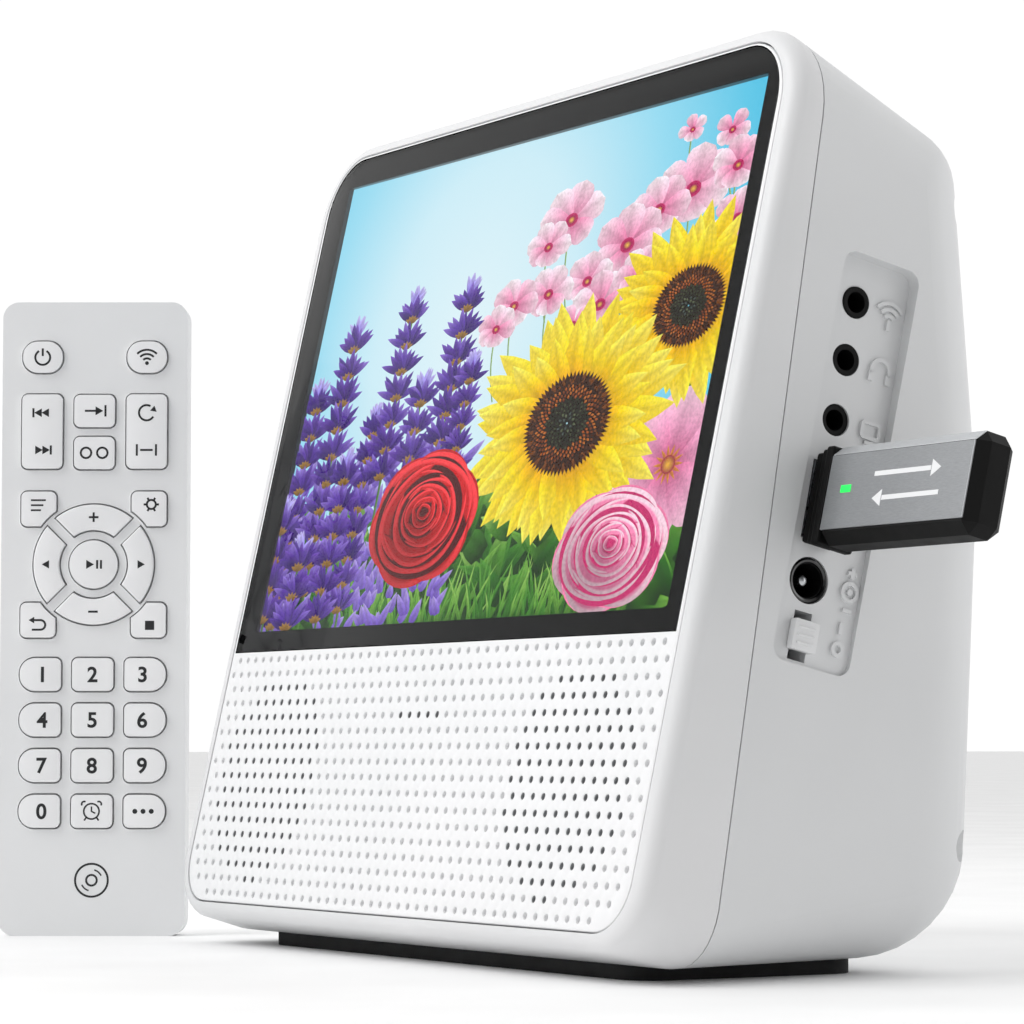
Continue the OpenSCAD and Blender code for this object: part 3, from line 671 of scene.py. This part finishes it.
class Picture:
    """Flat lit shapes laid one over the other, each a hair in front of the last."""

    # Where the lowest tile lies, how far forward the layers reach, and from one tile to the next
    back = -2.38
    room = 0.86
    step = 0.00035

    def __init__(self, name, share):
        self.name = name
        self.bm = bmesh.new()
        self.layer = self.bm.loops.layers.float_color.new("paint")
        self.z = self.back + self.room * share

    def place(self, x, y, z):
        """Vertex kept inside the display's lit area."""
        half = DISPLAY_W / 2 - 0.05
        x = max(-half, min(half, x))
        y = max(DISPLAY_LOW + 0.05, min(DISPLAY_TOP - 0.05, y))
        return self.bm.verts.new((x, y, z))

    def grid(self, rows, colours):
        """Flat tile over a grid of points, with a colour at each of them."""
        if all(abs(x) > DISPLAY_W / 2 or y < DISPLAY_LOW or y > DISPLAY_TOP for r in rows for x, y in r):
            return
        self.z += self.step
        top = [[self.place(x, y, self.z) for x, y in r] for r in rows]
        shade = {v: colours[i][j] for i, r in enumerate(top) for j, v in enumerate(r)}
        for a, b in zip(top, top[1:]):
            for j in range(len(a) - 1):
                face = self.bm.faces.new((a[j], a[j + 1], b[j + 1], b[j]))
                for loop in face.loops:
                    loop[self.layer] = (*shade[loop.vert], 1)

    def petal(
        self, x, y, angle, length, width, codes, squash=(1, 1), blunt=0.5, bend=0.0, across=4, along=6, full=0.8
    ):
        """Petal or leaf from its foot at (x, y), shaded from foot to tip by the colour codes."""
        rows = []
        colours = []
        c, s = math.cos(angle), math.sin(angle)
        shades = [rgb(code) for code in codes]
        for i in range(along + 1):
            t = i / along
            half = width / 2 * math.sin(math.pi * min(1, 0.06 + 0.94 * t) ** blunt) ** full
            off = bend * t * t * length
            row = []
            tone = []
            k = t * (len(shades) - 1)
            n = min(int(k), len(shades) - 2)
            base = [p + (q - p) * (k - n) for p, q in zip(shades[n], shades[n + 1])]
            for j in range(across + 1):
                u = -1 + 2 * j / across
                px, py = length * t, half * u + off
                row.append((x + (px * c - py * s) * squash[0], y + (px * s + py * c) * squash[1]))
                light = 1.0 + 0.16 * u * (1 if c > 0 else -1) - 0.22 * (abs(u) < 0.3)
                tone.append([min(1, v * light) for v in base])
            rows.append(row)
            colours.append(tone)
        self.grid(rows, colours)

    def disc(self, x, y, rx, ry, codes, count):
        """Round tile shaded from its middle to its rim."""
        shades = [rgb(code) for code in codes]
        steps = len(shades) - 1
        rows = []
        colours = []
        for i in range(steps + 1):
            k = 0.02 + 0.98 * i / steps
            turns = [TURN * j / count for j in range(count + 1)]
            rows.append([(x + rx * k * math.cos(a), y + ry * k * math.sin(a)) for a in turns])
            colours.append([shades[i]] * (count + 1))
        self.grid(rows, colours)

    def stem(self, x0, y0, x1, y1, width, code, bow=0.0):
        """Stalk from one point to another, bowed sideways."""
        rows = []
        colours = []
        for i in range(7):
            t = i / 6
            x = x0 + (x1 - x0) * t + bow * math.sin(math.pi * t)
            y = y0 + (y1 - y0) * t
            rows.append([(x - width / 2, y), (x, y), (x + width / 2, y)])
            base = rgb(code)
            colours.append([[v * 0.6 for v in base], base, [min(1, v * 1.5) for v in base]])
        self.grid(rows, colours)

    def done(self):
        """Turns the tiles into one piece of the display."""
        bmesh.ops.remove_doubles(self.bm, verts=self.bm.verts, dist=0.00005)
        bmesh.ops.dissolve_degenerate(self.bm, dist=0.00005, edges=self.bm.edges)
        mesh = bpy.data.meshes.new(self.name)
        self.bm.to_mesh(mesh)
        self.bm.free()
        mesh.transform(FRONT)
        mesh.materials.append(PICTURE)
        obj = bpy.data.objects.new(self.name, mesh)
        scene.collection.objects.link(obj)
        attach(obj, "player")


def sky():
    """Backmost layer of the picture."""
    bm = bmesh.new()
    prism(bm, panel(DISPLAY_W, DISPLAY_LOW, DISPLAY_TOP, 0, 0), SKY_BACK, SKY_FACE)
    piece("picture_sky", bm, FRONT, SKY)


def foliage(draw):
    """Dark undergrowth with leaves and grass over it, along the picture's foot."""
    p = Picture("picture_foliage", 0)
    leaves = [["16340f", "3c7a22", "7fb84a"], ["12300f", "2e6a1f", "559a35"], ["1c4012", "4d8a2c", "9cc763"]]
    blades = [["24521a", "6aa53c", "a9d36b"], ["1b4414", "3f8228", "6fae45"]]
    for i in range(26):
        x = -76 + 152 * i / 25
        hill = 24 + 10 * (i / 25)
        codes = ["1d3f17", "1a3a14", "2f5f22"]
        p.petal(x, -6, math.pi / 2, hill + draw.uniform(4, 16), 17, codes, blunt=0.7)
    for _ in range(150):
        x = draw.uniform(-76, 78)
        top = 22 + 16 * max(0, x) / 76
        y = draw.uniform(2, top)
        codes = draw.choice(leaves)
        angle = math.pi / 2 + draw.uniform(-1.2, 1.2)
        size = (draw.uniform(9, 17), draw.uniform(2, 5.5))
        p.petal(x, y, angle, *size, codes, (1.35, 1), 0.6, draw.uniform(-0.3, 0.3))
    for _ in range(150):
        x = draw.uniform(-40, 60)
        codes = draw.choice(blades)
        angle = math.pi / 2 + draw.uniform(-0.5, 0.5)
        p.petal(x, 2, angle, draw.uniform(7, 17), 0.9, codes, (1.3, 1), 0.5, draw.uniform(-0.2, 0.2))
    p.done()


def lavender(draw):
    """Spikes of lavender: a pale hazy row behind, then the sharp ones whorl by whorl."""
    p = Picture("picture_lavender", 0.18)
    haze = ["6d4fb8", "8e74d0", "b7a5e6"]
    tip = ["7a64cc", "a193e8", "c9bff5"]
    violets = [["2a0f55", "4a238a", "7a52c4"], ["230b4a", "3b1b78", "5f3ba8"], ["34186a", "5a36a4", "9678da"]]
    for _ in range(330):
        x = draw.uniform(-78, -4)
        y = draw.uniform(4, 40 - 0.1 * abs(x + 40))
        p.petal(x, y, math.pi / 2 + draw.uniform(-0.9, 0.9), draw.uniform(3, 6), 1.9, haze, (1.5, 1), 0.6)
    spikes = [
        (-71, 5, 57, 1.0), (-60, 8, 69, 1.0), (-44, 5, 50, 0.9), (-37.5, 30, 73, 0.95), (-27, 22, 55, 1.0),
        (-16, 34, 73, 0.95), (-52, 4, 41, 1.0), (-75, 4, 32, 1.1), (-64, 3, 24, 1.1), (-9, 30, 58, 0.8),
    ]
    for x, low, high, size in spikes:
        p.stem(x + 1, low - 6, x, high - 4, 0.9, "4f7a35")
        for _ in range(9):
            spread_at = draw.uniform(-0.9, 0.9)
            p.petal(x + spread_at, high - 4, math.pi / 2 + spread_at, 5 * size, 1.7, tip, (1.3, 1), 0.7)
        y = high - 6.5
        while y > low:
            width = 1 + 0.25 * min(1, (high - y) / 20)
            for i in range(9):
                a = math.pi / 2 + (i - 4) * 0.29 + draw.uniform(-0.1, 0.1)
                codes = draw.choice(violets)
                p.petal(x, y, a, draw.uniform(4.2, 5.6) * size * width, 1.75 * size, codes, (1.5, 1), 0.75)
            for i in range(5):
                a = math.pi / 2 + (i - 2) * 0.5
                p.petal(x, y - 0.6, a, 1.8 * size, 0.8, ["6a4a1c", "b98b3a"], (1.7, 1), 0.7, along=3, across=2)
            y -= 5.6 * size
    p.done()


def blossoms(draw):
    """Pink blossoms with magenta throats, pale and small at the back."""
    p = Picture("picture_blossoms", 0.5)
    pinks = [["e0639a", "f7b7d2", "fde6ef"], ["d9558f", "f3a6c6", "fbdbe8"], ["e77fab", "fac6dc", "fff0f6"]]
    flowers = [
        (53, 92, 3.5), (66, 90, 4.5), (57, 80.5, 9.5), (70, 83, 6.5), (47, 78, 7.5), (17, 80, 8.5), (10.5, 75.5, 6),
        (38.5, 72.5, 9), (27, 67, 6.5), (33, 62, 7.5), (14, 66, 6.5), (2, 65, 6.5), (-3, 61, 5.5), (73, 73, 6.5),
        (25, 59, 5), (45, 66, 6.5),
    ]
    for x, y, size in flowers:
        p.stem(x + 4, y - 9 - size, x, y, 0.5, "8fae6a", -1.2)
    for x, y, size in flowers:
        start = draw.uniform(0, 1.2)
        faces = 7 if size > 5 else 5
        for i in range(faces):
            a = start + TURN * i / faces + draw.uniform(-0.15, 0.15)
            reach = size * (1 - 0.3 * max(0, -math.sin(a)))
            p.petal(x, y, a, reach, size * 0.74, draw.choice(pinks), (1.35, 0.9), 2.0, along=9, full=0.5)
        p.disc(x, y, size * 0.26, size * 0.16, ["f2c14e", "a3124f", "c9286a"], 12)
    for i in range(6):
        a = 0.35 + TURN * i / 6
        p.petal(66, 30, a, 14, 11.5, ["c43a78", "f3a4c8", "fbd3e4"], (1.25, 1), 2.0, along=10, full=0.5)
    for i in range(14):
        a = TURN * i / 14
        p.petal(66, 30, a, 3.6, 0.8, ["b3194f", "e8a13a"], (1.3, 1), 0.8, along=3, across=2)
    p.disc(66, 30, 2.2, 1.7, ["e8b23c", "9a1747"], 14)
    p.done()


GOLDEN_ANGLE = math.radians(137.508)


def sunflower(p, draw, x, y, size, petals):
    """Sunflower: two rings of petals round a disc of seeds set in a spiral."""
    squash = (1.5, 1.0)
    yellows = [["e08a00", "ffcf00", "ffe83c"], ["d98200", "ffd400", "fff062"], ["ea9a00", "ffdb12", "ffe94a"]]
    for layer, (reach, wide) in enumerate(((1.0, 0.26), (0.9, 0.24), (0.8, 0.2))):
        for i in range(petals):
            a = TURN * (i + layer * 0.37) / petals + draw.uniform(-0.06, 0.06)
            length = size * reach * draw.uniform(0.88, 1.06)
            foot = size * 0.26
            p.petal(
                x + foot * math.cos(a) * squash[0], y + foot * math.sin(a) * squash[1], a, length - foot,
                size * wide, draw.choice(yellows), squash, 0.72, draw.uniform(-0.12, 0.12),
            )
    disc = size * 0.36
    p.disc(x, y, disc * 1.5, disc, ["16140c", "22160b", "2c160a"], 36)
    for i in range(70):
        a = TURN * i / 70
        foot = disc * 0.86
        codes = ["3a1c08", "2a1206"] if i % 3 else ["8a4a10", "4a250a"]
        p.petal(
            x + foot * math.cos(a) * 1.5, y + foot * math.sin(a), a, disc * 0.26, disc * 0.1, codes, squash, 0.8,
            along=2, across=2,
        )
    count = 420
    for n in range(count, 0, -1):
        share = math.sqrt(n / count)
        a = n * GOLDEN_ANGLE
        if share > 0.78:
            codes = draw.choice([["3b1a08", "5a2c0e"], ["2c1206", "4a230b"], ["6a3410", "8a4a18"]])
        elif share > 0.52:
            codes = draw.choice([["8a3d0c", "cf6a1a"], ["a24c10", "e58a30"], ["5a250a", "9a4812"]])
        elif share > 0.2:
            codes = draw.choice([["1e2416", "3c452c"], ["262a1c", "545a3c"], ["14180f", "2c3422"]])
        else:
            codes = draw.choice([["3a4630", "7c8462"], ["2a3430", "5c6a66"]])
        r = disc * share * 0.96
        p.petal(
            x + r * math.cos(a) * 1.5, y + r * math.sin(a), a, disc * 0.085, disc * 0.06, codes, squash, 0.8,
            along=2, across=2,
        )


def sunflowers(draw):
    """Two sunflowers, the smaller one behind."""
    p = Picture("picture_sunflowers", 0.66)
    sunflower(p, draw, 63, 58.5, 19, 20)
    sunflower(p, draw, 30.4, 40, 24.5, 24)
    p.done()


def rose(p, draw, x, y, rx, ry, rim, flesh, deep):
    """Rose seen from the front: cupped petals wound inwards, each lip bright over its own deep shade."""

    def cup(cx, cy, r, start, reach, depth):
        """Petal whose lip runs from start through reach radians, deep at its middle and thin at both ends."""
        rows = []
        colours = []
        steps = 20
        shades = [rgb(code) for code in (rim, rim, flesh, flesh, deep)]
        for i in range(steps + 1):
            t = i / steps
            a = start + reach * t
            swell = math.sin(math.pi * t) ** 0.5
            wave = 1 + 0.03 * math.sin(3 * math.pi * t + start)
            radii = [wave - depth * swell * share for share in (0, 0.16, 0.3, 0.62, 1)]
            rows.append([(cx + rx * r * k * math.cos(a), cy + ry * r * k * math.sin(a)) for k in radii])
            light = 0.8 + 0.3 * math.sin(a + 0.6)
            colours.append([[min(1, c * light) for c in shade] for shade in shades])
        p.grid(rows, colours)

    for i in range(6):
        a = 0.25 + TURN * i / 6
        cx, cy = x + rx * 0.34 * math.cos(a), y + ry * 0.34 * math.sin(a)
        p.disc(cx, cy, rx * 0.68, ry * 0.68, [deep, deep, deep, deep, flesh], 30)
        cup(cx, cy, 0.66, a - 1.5, 3.0, 0.55)
    rings = 7
    for k in range(rings):
        share = 0.84 * (1 - k / rings) ** 1.15 + 0.04
        cx = x + rx * share * draw.uniform(-0.06, 0.06)
        cy = y + ry * 0.12 * (1 - share)
        p.disc(cx, cy, rx * share * 1.02, ry * share * 1.02, [deep, deep, deep], 34)
        for i in range(3):
            start = k * 1.35 + TURN * i / 3 + draw.uniform(-0.2, 0.2)
            cup(cx, cy, share * (1 - 0.05 * i), start, 2.7, 0.34 + 0.03 * k)
    p.disc(x, y + ry * 0.12, rx * 0.04, ry * 0.05, [deep, deep], 12)


def roses(draw):
    """A red rose, and a pink one that the picture's foot cuts off."""
    p = Picture("picture_roses", 0.9)
    rose(p, draw, -16, 25, 20, 13.4, "ff3a42", "cc0612", "4c0006")
    rose(p, draw, 53, 15.6, 18, 11.4, "ffd3e2", "f98ab5", "c9306e")
    p.done()


PICTURE_SEED = 7


def picture():
    """The flower picture that the display shows."""
    draw = random.Random(PICTURE_SEED)
    sky()
    foliage(draw)
    lavender(draw)
    blossoms(draw)
    sunflowers(draw)
    roses(draw)


cover_glass()
picture()

# ---- marks beside the ports


def port_marks():
    """Raised pictures beside the ports, in the shell's own plastic."""
    bm = bmesh.new()
    d = 28.7
    line = 0.65
    high = 0.5
    low = -0.3

    def v(value):
        return value - FIELD_MID_V

    for r in (1.2, 2.3, 3.4):
        ribbon(bm, arc(d, v(JACK_V[0]) - 1.6, r, 40, 140), line, low, high)
    ribbon(bm, [(d, v(JACK_V[0]) - 3), (d, v(JACK_V[0]) - 1.2)], line, low, high)
    ribbon(bm, arc(d, v(JACK_V[1]), 1.9, -20, 200), line, low, high)
    for s in (-1, 1):
        ribbon(bm, [(d + s * 1.8, v(JACK_V[1]) - 0.4), (d + s * 1.8, v(JACK_V[1]) - 2.1)], 1.0, low, high)
    ribbon(bm, panel_loop(d, v(JACK_V[2]), 3.6, 2.6), line, low, high, True)
    ribbon(bm, [(d - 0.9, v(JACK_V[2]) - 2.2), (d + 0.9, v(JACK_V[2]) - 2.2)], line, low, high)
    ribbon(bm, circle(d + 1.2, v(DC_V), 1.5, 20), line, low, high, True)
    prism(bm, circle(d + 1.2, v(DC_V), 0.55, 14), low, high)
    for side in (-1, 1):
        y = v(DC_V) + side * 3.2
        ribbon(bm, [(d + 0.3, y), (d + 2.1, y)], line, low, high)
    ribbon(bm, [(d + 1.2, v(DC_V) + 2.3), (d + 1.2, v(DC_V) + 4.1)], line, low, high + 0.01)
    ribbon(bm, [(d + 0.6, v(SWITCH_V) + 2.2), (d + 0.6, v(SWITCH_V) + 4.2)], line, low, high)
    ribbon(bm, circle(d + 0.6, v(SWITCH_V) - 0.4, 1.0, 18), line, low, high, True)
    piece("port_marks", bm, FIELD, GREY)


def panel_loop(x, y, w, h):
    """Rounded rectangle round (x, y)."""
    return [(x + px, y + py) for px, py in panel(w, -h / 2, h / 2, 0.5, 0.5, 4)]


def port_details():
    """Linings of the jacks' mouths, the power inlet's ring and pin, and the switch's grip."""
    facing = axes(corner, inward, up, Vector((1, 0, 0)))
    jack_face = 83.6
    inlet_face = 84.2
    mouth = [(1.82, -1.4), (1.82, -0.2), (2.0, 0.02), (2.5, 0.05), (2.64, -0.2), (2.64, -1.4), (1.82, -1.4)]
    for name, v in zip(("fm", "headphone", "av"), JACK_V):
        turned(f"{name}_jack_mouth", plane_at(facing, PORT_D, v, jack_face), mouth, SOCKET_BLACK)
    where = plane_at(facing, PORT_D, DC_V, inlet_face)
    rim = [(2.95, -3), (2.95, -0.2), (3.15, 0.25), (3.5, 0.4), (3.8, 0.25), (3.85, -0.3), (3.85, -3), (2.95, -3)]
    turned("power_inlet_ring", where, rim, GLOSS_BLACK)
    pin = [(0.97, -6), (0.97, -1.6), (0.8, -1.15), (0.4, -0.9), (0.05, -0.85)]
    turned("power_inlet_pin", where, pin, STEEL, 24)
    for i in range(3):
        middle = SWITCH_V + 1.3 * (i - 1)
        low = (PORT_D - 1.7, middle - 0.22, CAP_TOP - 0.2)
        high = (PORT_D + 1.7, middle + 0.22, CAP_TOP + 0.18)
        box(f"switch_grip_{i + 1}", facing, low, high, 0.12, WHITE, "power_switch")


port_marks()
port_details()

# ---- memory stick


def memory_stick():
    """Memory stick in its socket: plug, stepped collar, chamfered body, inlaid plate, bright trim and lamp."""
    where = plane_at(FRONT, 0, USB_V, -PORT_D)
    half_w = 8.5
    half_t = 3.8
    chamfer = 1.9
    proud = 0.12
    plate_start = MOUTH + 6.2
    plate_end = MOUTH + 44.2

    def part(name, plane, low, high, bevel, material, segments=2):
        return box(name, plane, low, high, bevel, material, "stick", segments)

    plug = part("stick_plug", where, (MOUTH - 11.2, -6, 0), (MOUTH + 1.4, 6, 2.25), 0.25, STEEL)
    steps = ((0.75, 0.2, 2.8), (0.35, 2.3, 4.2), (0.0, 3.8, 5.8))
    for i, (inset, start, stop) in enumerate(steps):
        low = (MOUTH + start, inset - half_w, inset - half_t)
        high = (MOUTH + stop, half_w - inset, half_t - inset)
        part(f"stick_collar_{i + 1}", where, low, high, 0.45, SOCKET_BLACK)
    low, high = (MOUTH + 5, -half_w, -half_t), (MOUTH + 46, half_w, half_t)
    body = part("stick_body", where, low, high, chamfer, SOCKET_BLACK, 1)
    low, high = (plate_start, 2.3 - half_w, half_t - 0.4), (plate_end, half_w - 1.95, half_t + proud)
    part("stick_plate", where, low, high, 0.1, ANODISED)
    edge = plane_at(where, 0, half_w - chamfer / 2, half_t - chamfer / 2) @ Matrix.Rotation(-math.pi / 4, 4, "X")
    part("stick_trim", edge, (plate_start, -1.3, -0.3), (plate_end, 1.3, 0.1), 0.08, TRIM)
    face = plane_at(where, 0, 0, half_t + proud)
    part("stick_lamp", face, (MOUTH + 10.2, -0.1, -0.1), (MOUTH + 13, 1.2, 0.12), 0.1, LED)
    bm = bmesh.new()
    x, y = MOUTH + 28, 0.5
    for side in (-1, 1):
        ribbon(bm, [(x - side * 9, y + side * 2.1), (x + side * 6, y + side * 2.1)], 0.8, -0.05, 0.05)
        arrow(bm, x + side * 7.2, y + side * 2.1, 2.3, 90 - side * 90, -0.05, 0.055)
    piece("stick_symbol", bm, face, KEY_WHITE, "stick")
    for obj in (plug, body):
        finish_edges(obj)
    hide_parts("usb_stick")


memory_stick()

# ---- remote control's legends


# From where to where a printed mark stands about its surface
PRINT = (-0.02, 0.035)
DIGIT_SIZE = 4.4
DISC_MARK_V = 11.5


def legend(key, draw_it):
    """Printed mark on a key's top, drawn by draw_it in the remote's plane."""
    bm = bmesh.new()
    draw_it(bm, *PRINT)
    piece(f"{key}_mark", bm, plane_at(REMOTE, 0, 0, KEY_RISE), INK, key)


def digit(key, text, x, y):
    """Printed digit on a key. The six is the nine turned over, because the font's own six fills badly."""
    curve = bpy.data.curves.new(f"{key}_text", "FONT")
    curve.body = "9" if text == "6" else text
    curve.size = DIGIT_SIZE
    curve.align_x = "CENTER"
    curve.align_y = "CENTER"
    curve.extrude = 0.025
    curve.offset = 0.1
    holder = bpy.data.objects.new(f"{key}_text", curve)
    scene.collection.objects.link(holder)
    bpy.context.view_layer.update()
    mesh = bpy.data.meshes.new_from_object(holder)
    bpy.data.objects.remove(holder)
    bm = bmesh.new()
    bm.from_mesh(mesh)
    low = [min(v.co[i] for v in bm.verts) for i in (0, 1)]
    high = [max(v.co[i] for v in bm.verts) for i in (0, 1)]
    shift = Vector((x - (low[0] + high[0]) / 2, y - (low[1] + high[1]) / 2, 0.01))
    bmesh.ops.translate(bm, vec=shift, verts=bm.verts)
    if text == "6":
        turn = Matrix.Rotation(math.pi, 3, "Z")
        bmesh.ops.rotate(bm, cent=Vector((x, y, 0)), matrix=turn, verts=bm.verts)
    return bm


def legends():
    """All the marks on the remote's keys: numbers, and pictures in place of words."""
    line = 0.42

    def power(bm, a, b):
        ribbon(bm, arc(-COL, 120.3, 1.55, 120, 420, 26), line, a, b)
        ribbon(bm, [(-COL, 120.6), (-COL, 122.2)], line, a, b)

    def wireless(bm, a, b):
        for r in (1.1, 2.0, 2.9):
            ribbon(bm, arc(COL, 119, r, 45, 135), line, a, b)
        prism(bm, circle(COL, 119.1, 0.4, 12), a, b)

    def skip(bm, a, b):
        for y, turn in ((108.7, 180), (100.9, 0)):
            way = 1 if turn == 0 else -1
            for k in (-0.75, 0.75):
                arrow(bm, -COL + k, y, 1.45, turn, a, b)
            ribbon(bm, [(-COL + way * 1.85, y - 0.95), (-COL + way * 1.85, y + 0.95)], line, a, b)

    def goto(bm, a, b):
        ribbon(bm, [(-2, 109.1), (0.9, 109.1)], line, a, b)
        arrow(bm, 0.9, 109.1, 1.5, 0, a, b)
        ribbon(bm, [(2.3, 107.9), (2.3, 110.3)], line, a, b)

    def channel(bm, a, b):
        for s in (-1, 1):
            ribbon(bm, circle(s * 1.7, 100.3, 1.1, 16), line, a, b, True)

    def repeat(bm, a, b):
        ribbon(bm, arc(COL, 108.7, 1.6, 60, 330, 22), line, a, b)
        arrow(bm, COL + 1.5, 109.5, 1.1, 80, a, b)
        for s in (-1, 1):
            ribbon(bm, [(COL + s * 2, 99.7), (COL + s * 2, 102.1)], line, a, b)
        ribbon(bm, [(COL - 1.3, 100.9), (COL + 1.3, 100.9)], line, a, b)

    def menu(bm, a, b):
        for i in range(3):
            ribbon(bm, [(-COL - 2.2, 90.4 - i * 1.05), (-COL + 0.9 - i * 0.5, 90.4 - i * 1.05)], 0.36, a, b)

    def settings(bm, a, b):
        x, y = COL + 1.1, 89.5
        ribbon(bm, circle(x, y, 0.95, 18), line, a, b, True)
        for i in range(6):
            t = TURN * i / 6
            c, s = math.cos(t), math.sin(t)
            ribbon(bm, [(x + 1.05 * c, y + 1.05 * s), (x + 1.6 * c, y + 1.6 * s)], line, a, b)

    def back(bm, a, b):
        x, y = -COL - 0.9, 64.4
        bend = arc(x + 0.9, y, 1, 80, -90, 8)
        ribbon(bm, [(x - 0.7, y + 1), (x + 0.9, y + 1), *bend, (x - 0.9, y - 1)], line, a, b)
        arrow(bm, x - 0.9, y + 1, 1.1, 180, a, b)

    def stop(bm, a, b):
        x, y = COL + 0.9, 64.3
        prism(bm, [(x - 0.95, y - 0.95), (x + 0.95, y - 0.95), (x + 0.95, y + 0.95), (x - 0.95, y + 0.95)], a, b)

    def play(bm, a, b):
        arrow(bm, -0.8, RING_V, 1.5, 0, a, b)
        for x in (0.8, 1.6):
            ribbon(bm, [(x, RING_V - 0.9), (x, RING_V + 0.9)], line, a, b)

    def clock(bm, a, b):
        y = DIGITS_V - 3 * ROW
        ribbon(bm, circle(0, y, 1.6, 22), 0.34, a, b, True)
        ribbon(bm, [(0, y + 1), (0, y), (0.8, y - 0.4)], 0.3, a, b)
        for s in (-1, 1):
            ribbon(bm, arc(s * 1.5, y + 1.5, 0.55, 45 - s * 45 - 30, 135 - s * 45 + 30, 6), 0.34, a, b)
            ribbon(bm, [(s * 1.1, y - 1.3), (s * 1.5, y - 1.9)], 0.34, a, b)

    def mode(bm, a, b):
        y = DIGITS_V - 3 * ROW
        for i in (-1, 0, 1):
            prism(bm, circle(COL + i * 1.7 - 0.2, y, 0.52, 14), a, b)

    ring_mid = (RING_R + RING_BORE_R) / 2

    def plus(bm, a, b):
        y = RING_V + ring_mid
        ribbon(bm, [(-1, y), (1, y)], line, a, b)
        ribbon(bm, [(0, y - 1), (0, y + 1)], line, a, b + 0.002)

    def minus(bm, a, b):
        ribbon(bm, [(-1, RING_V - ring_mid), (1, RING_V - ring_mid)], line, a, b)

    marks = {
        "key_power": power, "key_wireless": wireless, "key_skip": skip, "key_goto": goto, "key_channel": channel,
        "key_repeat": repeat, "key_menu": menu, "key_set": settings, "key_back": back, "key_stop": stop,
        "key_play": play, "key_clock": clock, "key_mode": mode, "key_up": plus, "key_down": minus,
        "key_left": lambda bm, a, b: arrow(bm, -ring_mid, RING_V, 1.4, 180, a, b),
        "key_right": lambda bm, a, b: arrow(bm, ring_mid, RING_V, 1.4, 0, a, b),
    }
    for key, draw_it in marks.items():
        legend(key, draw_it)
    for i, n in enumerate((1, 2, 3, 4, 5, 6, 7, 8, 9, 0)):
        column = -1 if n == 0 else i % 3 - 1
        nudge = 0.5 * -column
        bm = digit(f"key_{n}", str(n), column * COL + nudge, DIGITS_V - ROW * (i // 3))
        piece(f"key_{n}_mark", bm, plane_at(REMOTE, 0, 0, KEY_RISE), INK, f"key_{n}")
    bm = bmesh.new()
    for r in (1.1, 3.4):
        ribbon(bm, circle(0, DISC_MARK_V, r, 36), line, *PRINT, True)
    for a0 in (25, 205):
        ribbon(bm, arc(0, DISC_MARK_V, 2.2, a0, a0 + 50, 8), 0.3, *PRINT)
    piece("remote_disc_mark", bm, REMOTE, INK, "remote")


legends()

# ---- carried-over CAD nodes


def dress(names, material, width=0.0, segments=2):
    """Gives CAD nodes their finish and softened edges."""
    for name in names:
        obj = nodes[name]
        obj.data.materials.clear()
        obj.data.materials.append(material)
        for polygon in obj.data.polygons:
            polygon.material_index = 0
        finish_edges(obj, width, segments)


keys = [n for n in nodes if n.startswith("key_")]
dress(["front_shell"], WHITE)
dress(["rear_shell", "disc_door"], GREY)
dress(["door_button"], GREY, 0.25)
dress(["power_slider"], WHITE, 0.25)
# The base pad's black also gives the dark band of painted shade under the body
dress(["base_pad"], PAD_RUBBER_AND_SHADE, 0.6)
dress(["lcd_panel"], BLACK)
dress(["left_speaker", "right_speaker"], CONE)
dress(["main_board", "port_board", "remote_board"], CIRCUIT)
dress(["fm_jack", "headphone_jack", "av_jack", "dc_jack", "ir_receiver"], SOCKET_BLACK)
dress(["usb_port", "spindle_motor", "sled_motor", "guide_rods", "lead_screw", "door_pins", "case_screws"], STEEL)
dress(["turntable"], BLACK, 0.3)
dress(["drive_chassis", "pickup_sled"], CHASSIS)
dress(["battery_pack"], WRAP)
dress(["remote_front", "remote_back"], REMOTE_WHITE)
dress(keys, KEY_WHITE, 0.3, 3)

# ---- floor


def floor():
    """Pale seamless floor."""
    bm = bmesh.new()
    bmesh.ops.create_grid(bm, x_segments=1, y_segments=1, size=30)
    mesh = bpy.data.meshes.new("floor")
    bm.to_mesh(mesh)
    bm.free()
    mesh.materials.append(moulded("floor_paint", "f7f7f7", "ffffff", 0.7, 300, 0.0001, relief=0.05))
    obj = bpy.data.objects.new("floor", mesh)
    scene.collection.objects.link(obj)


floor()
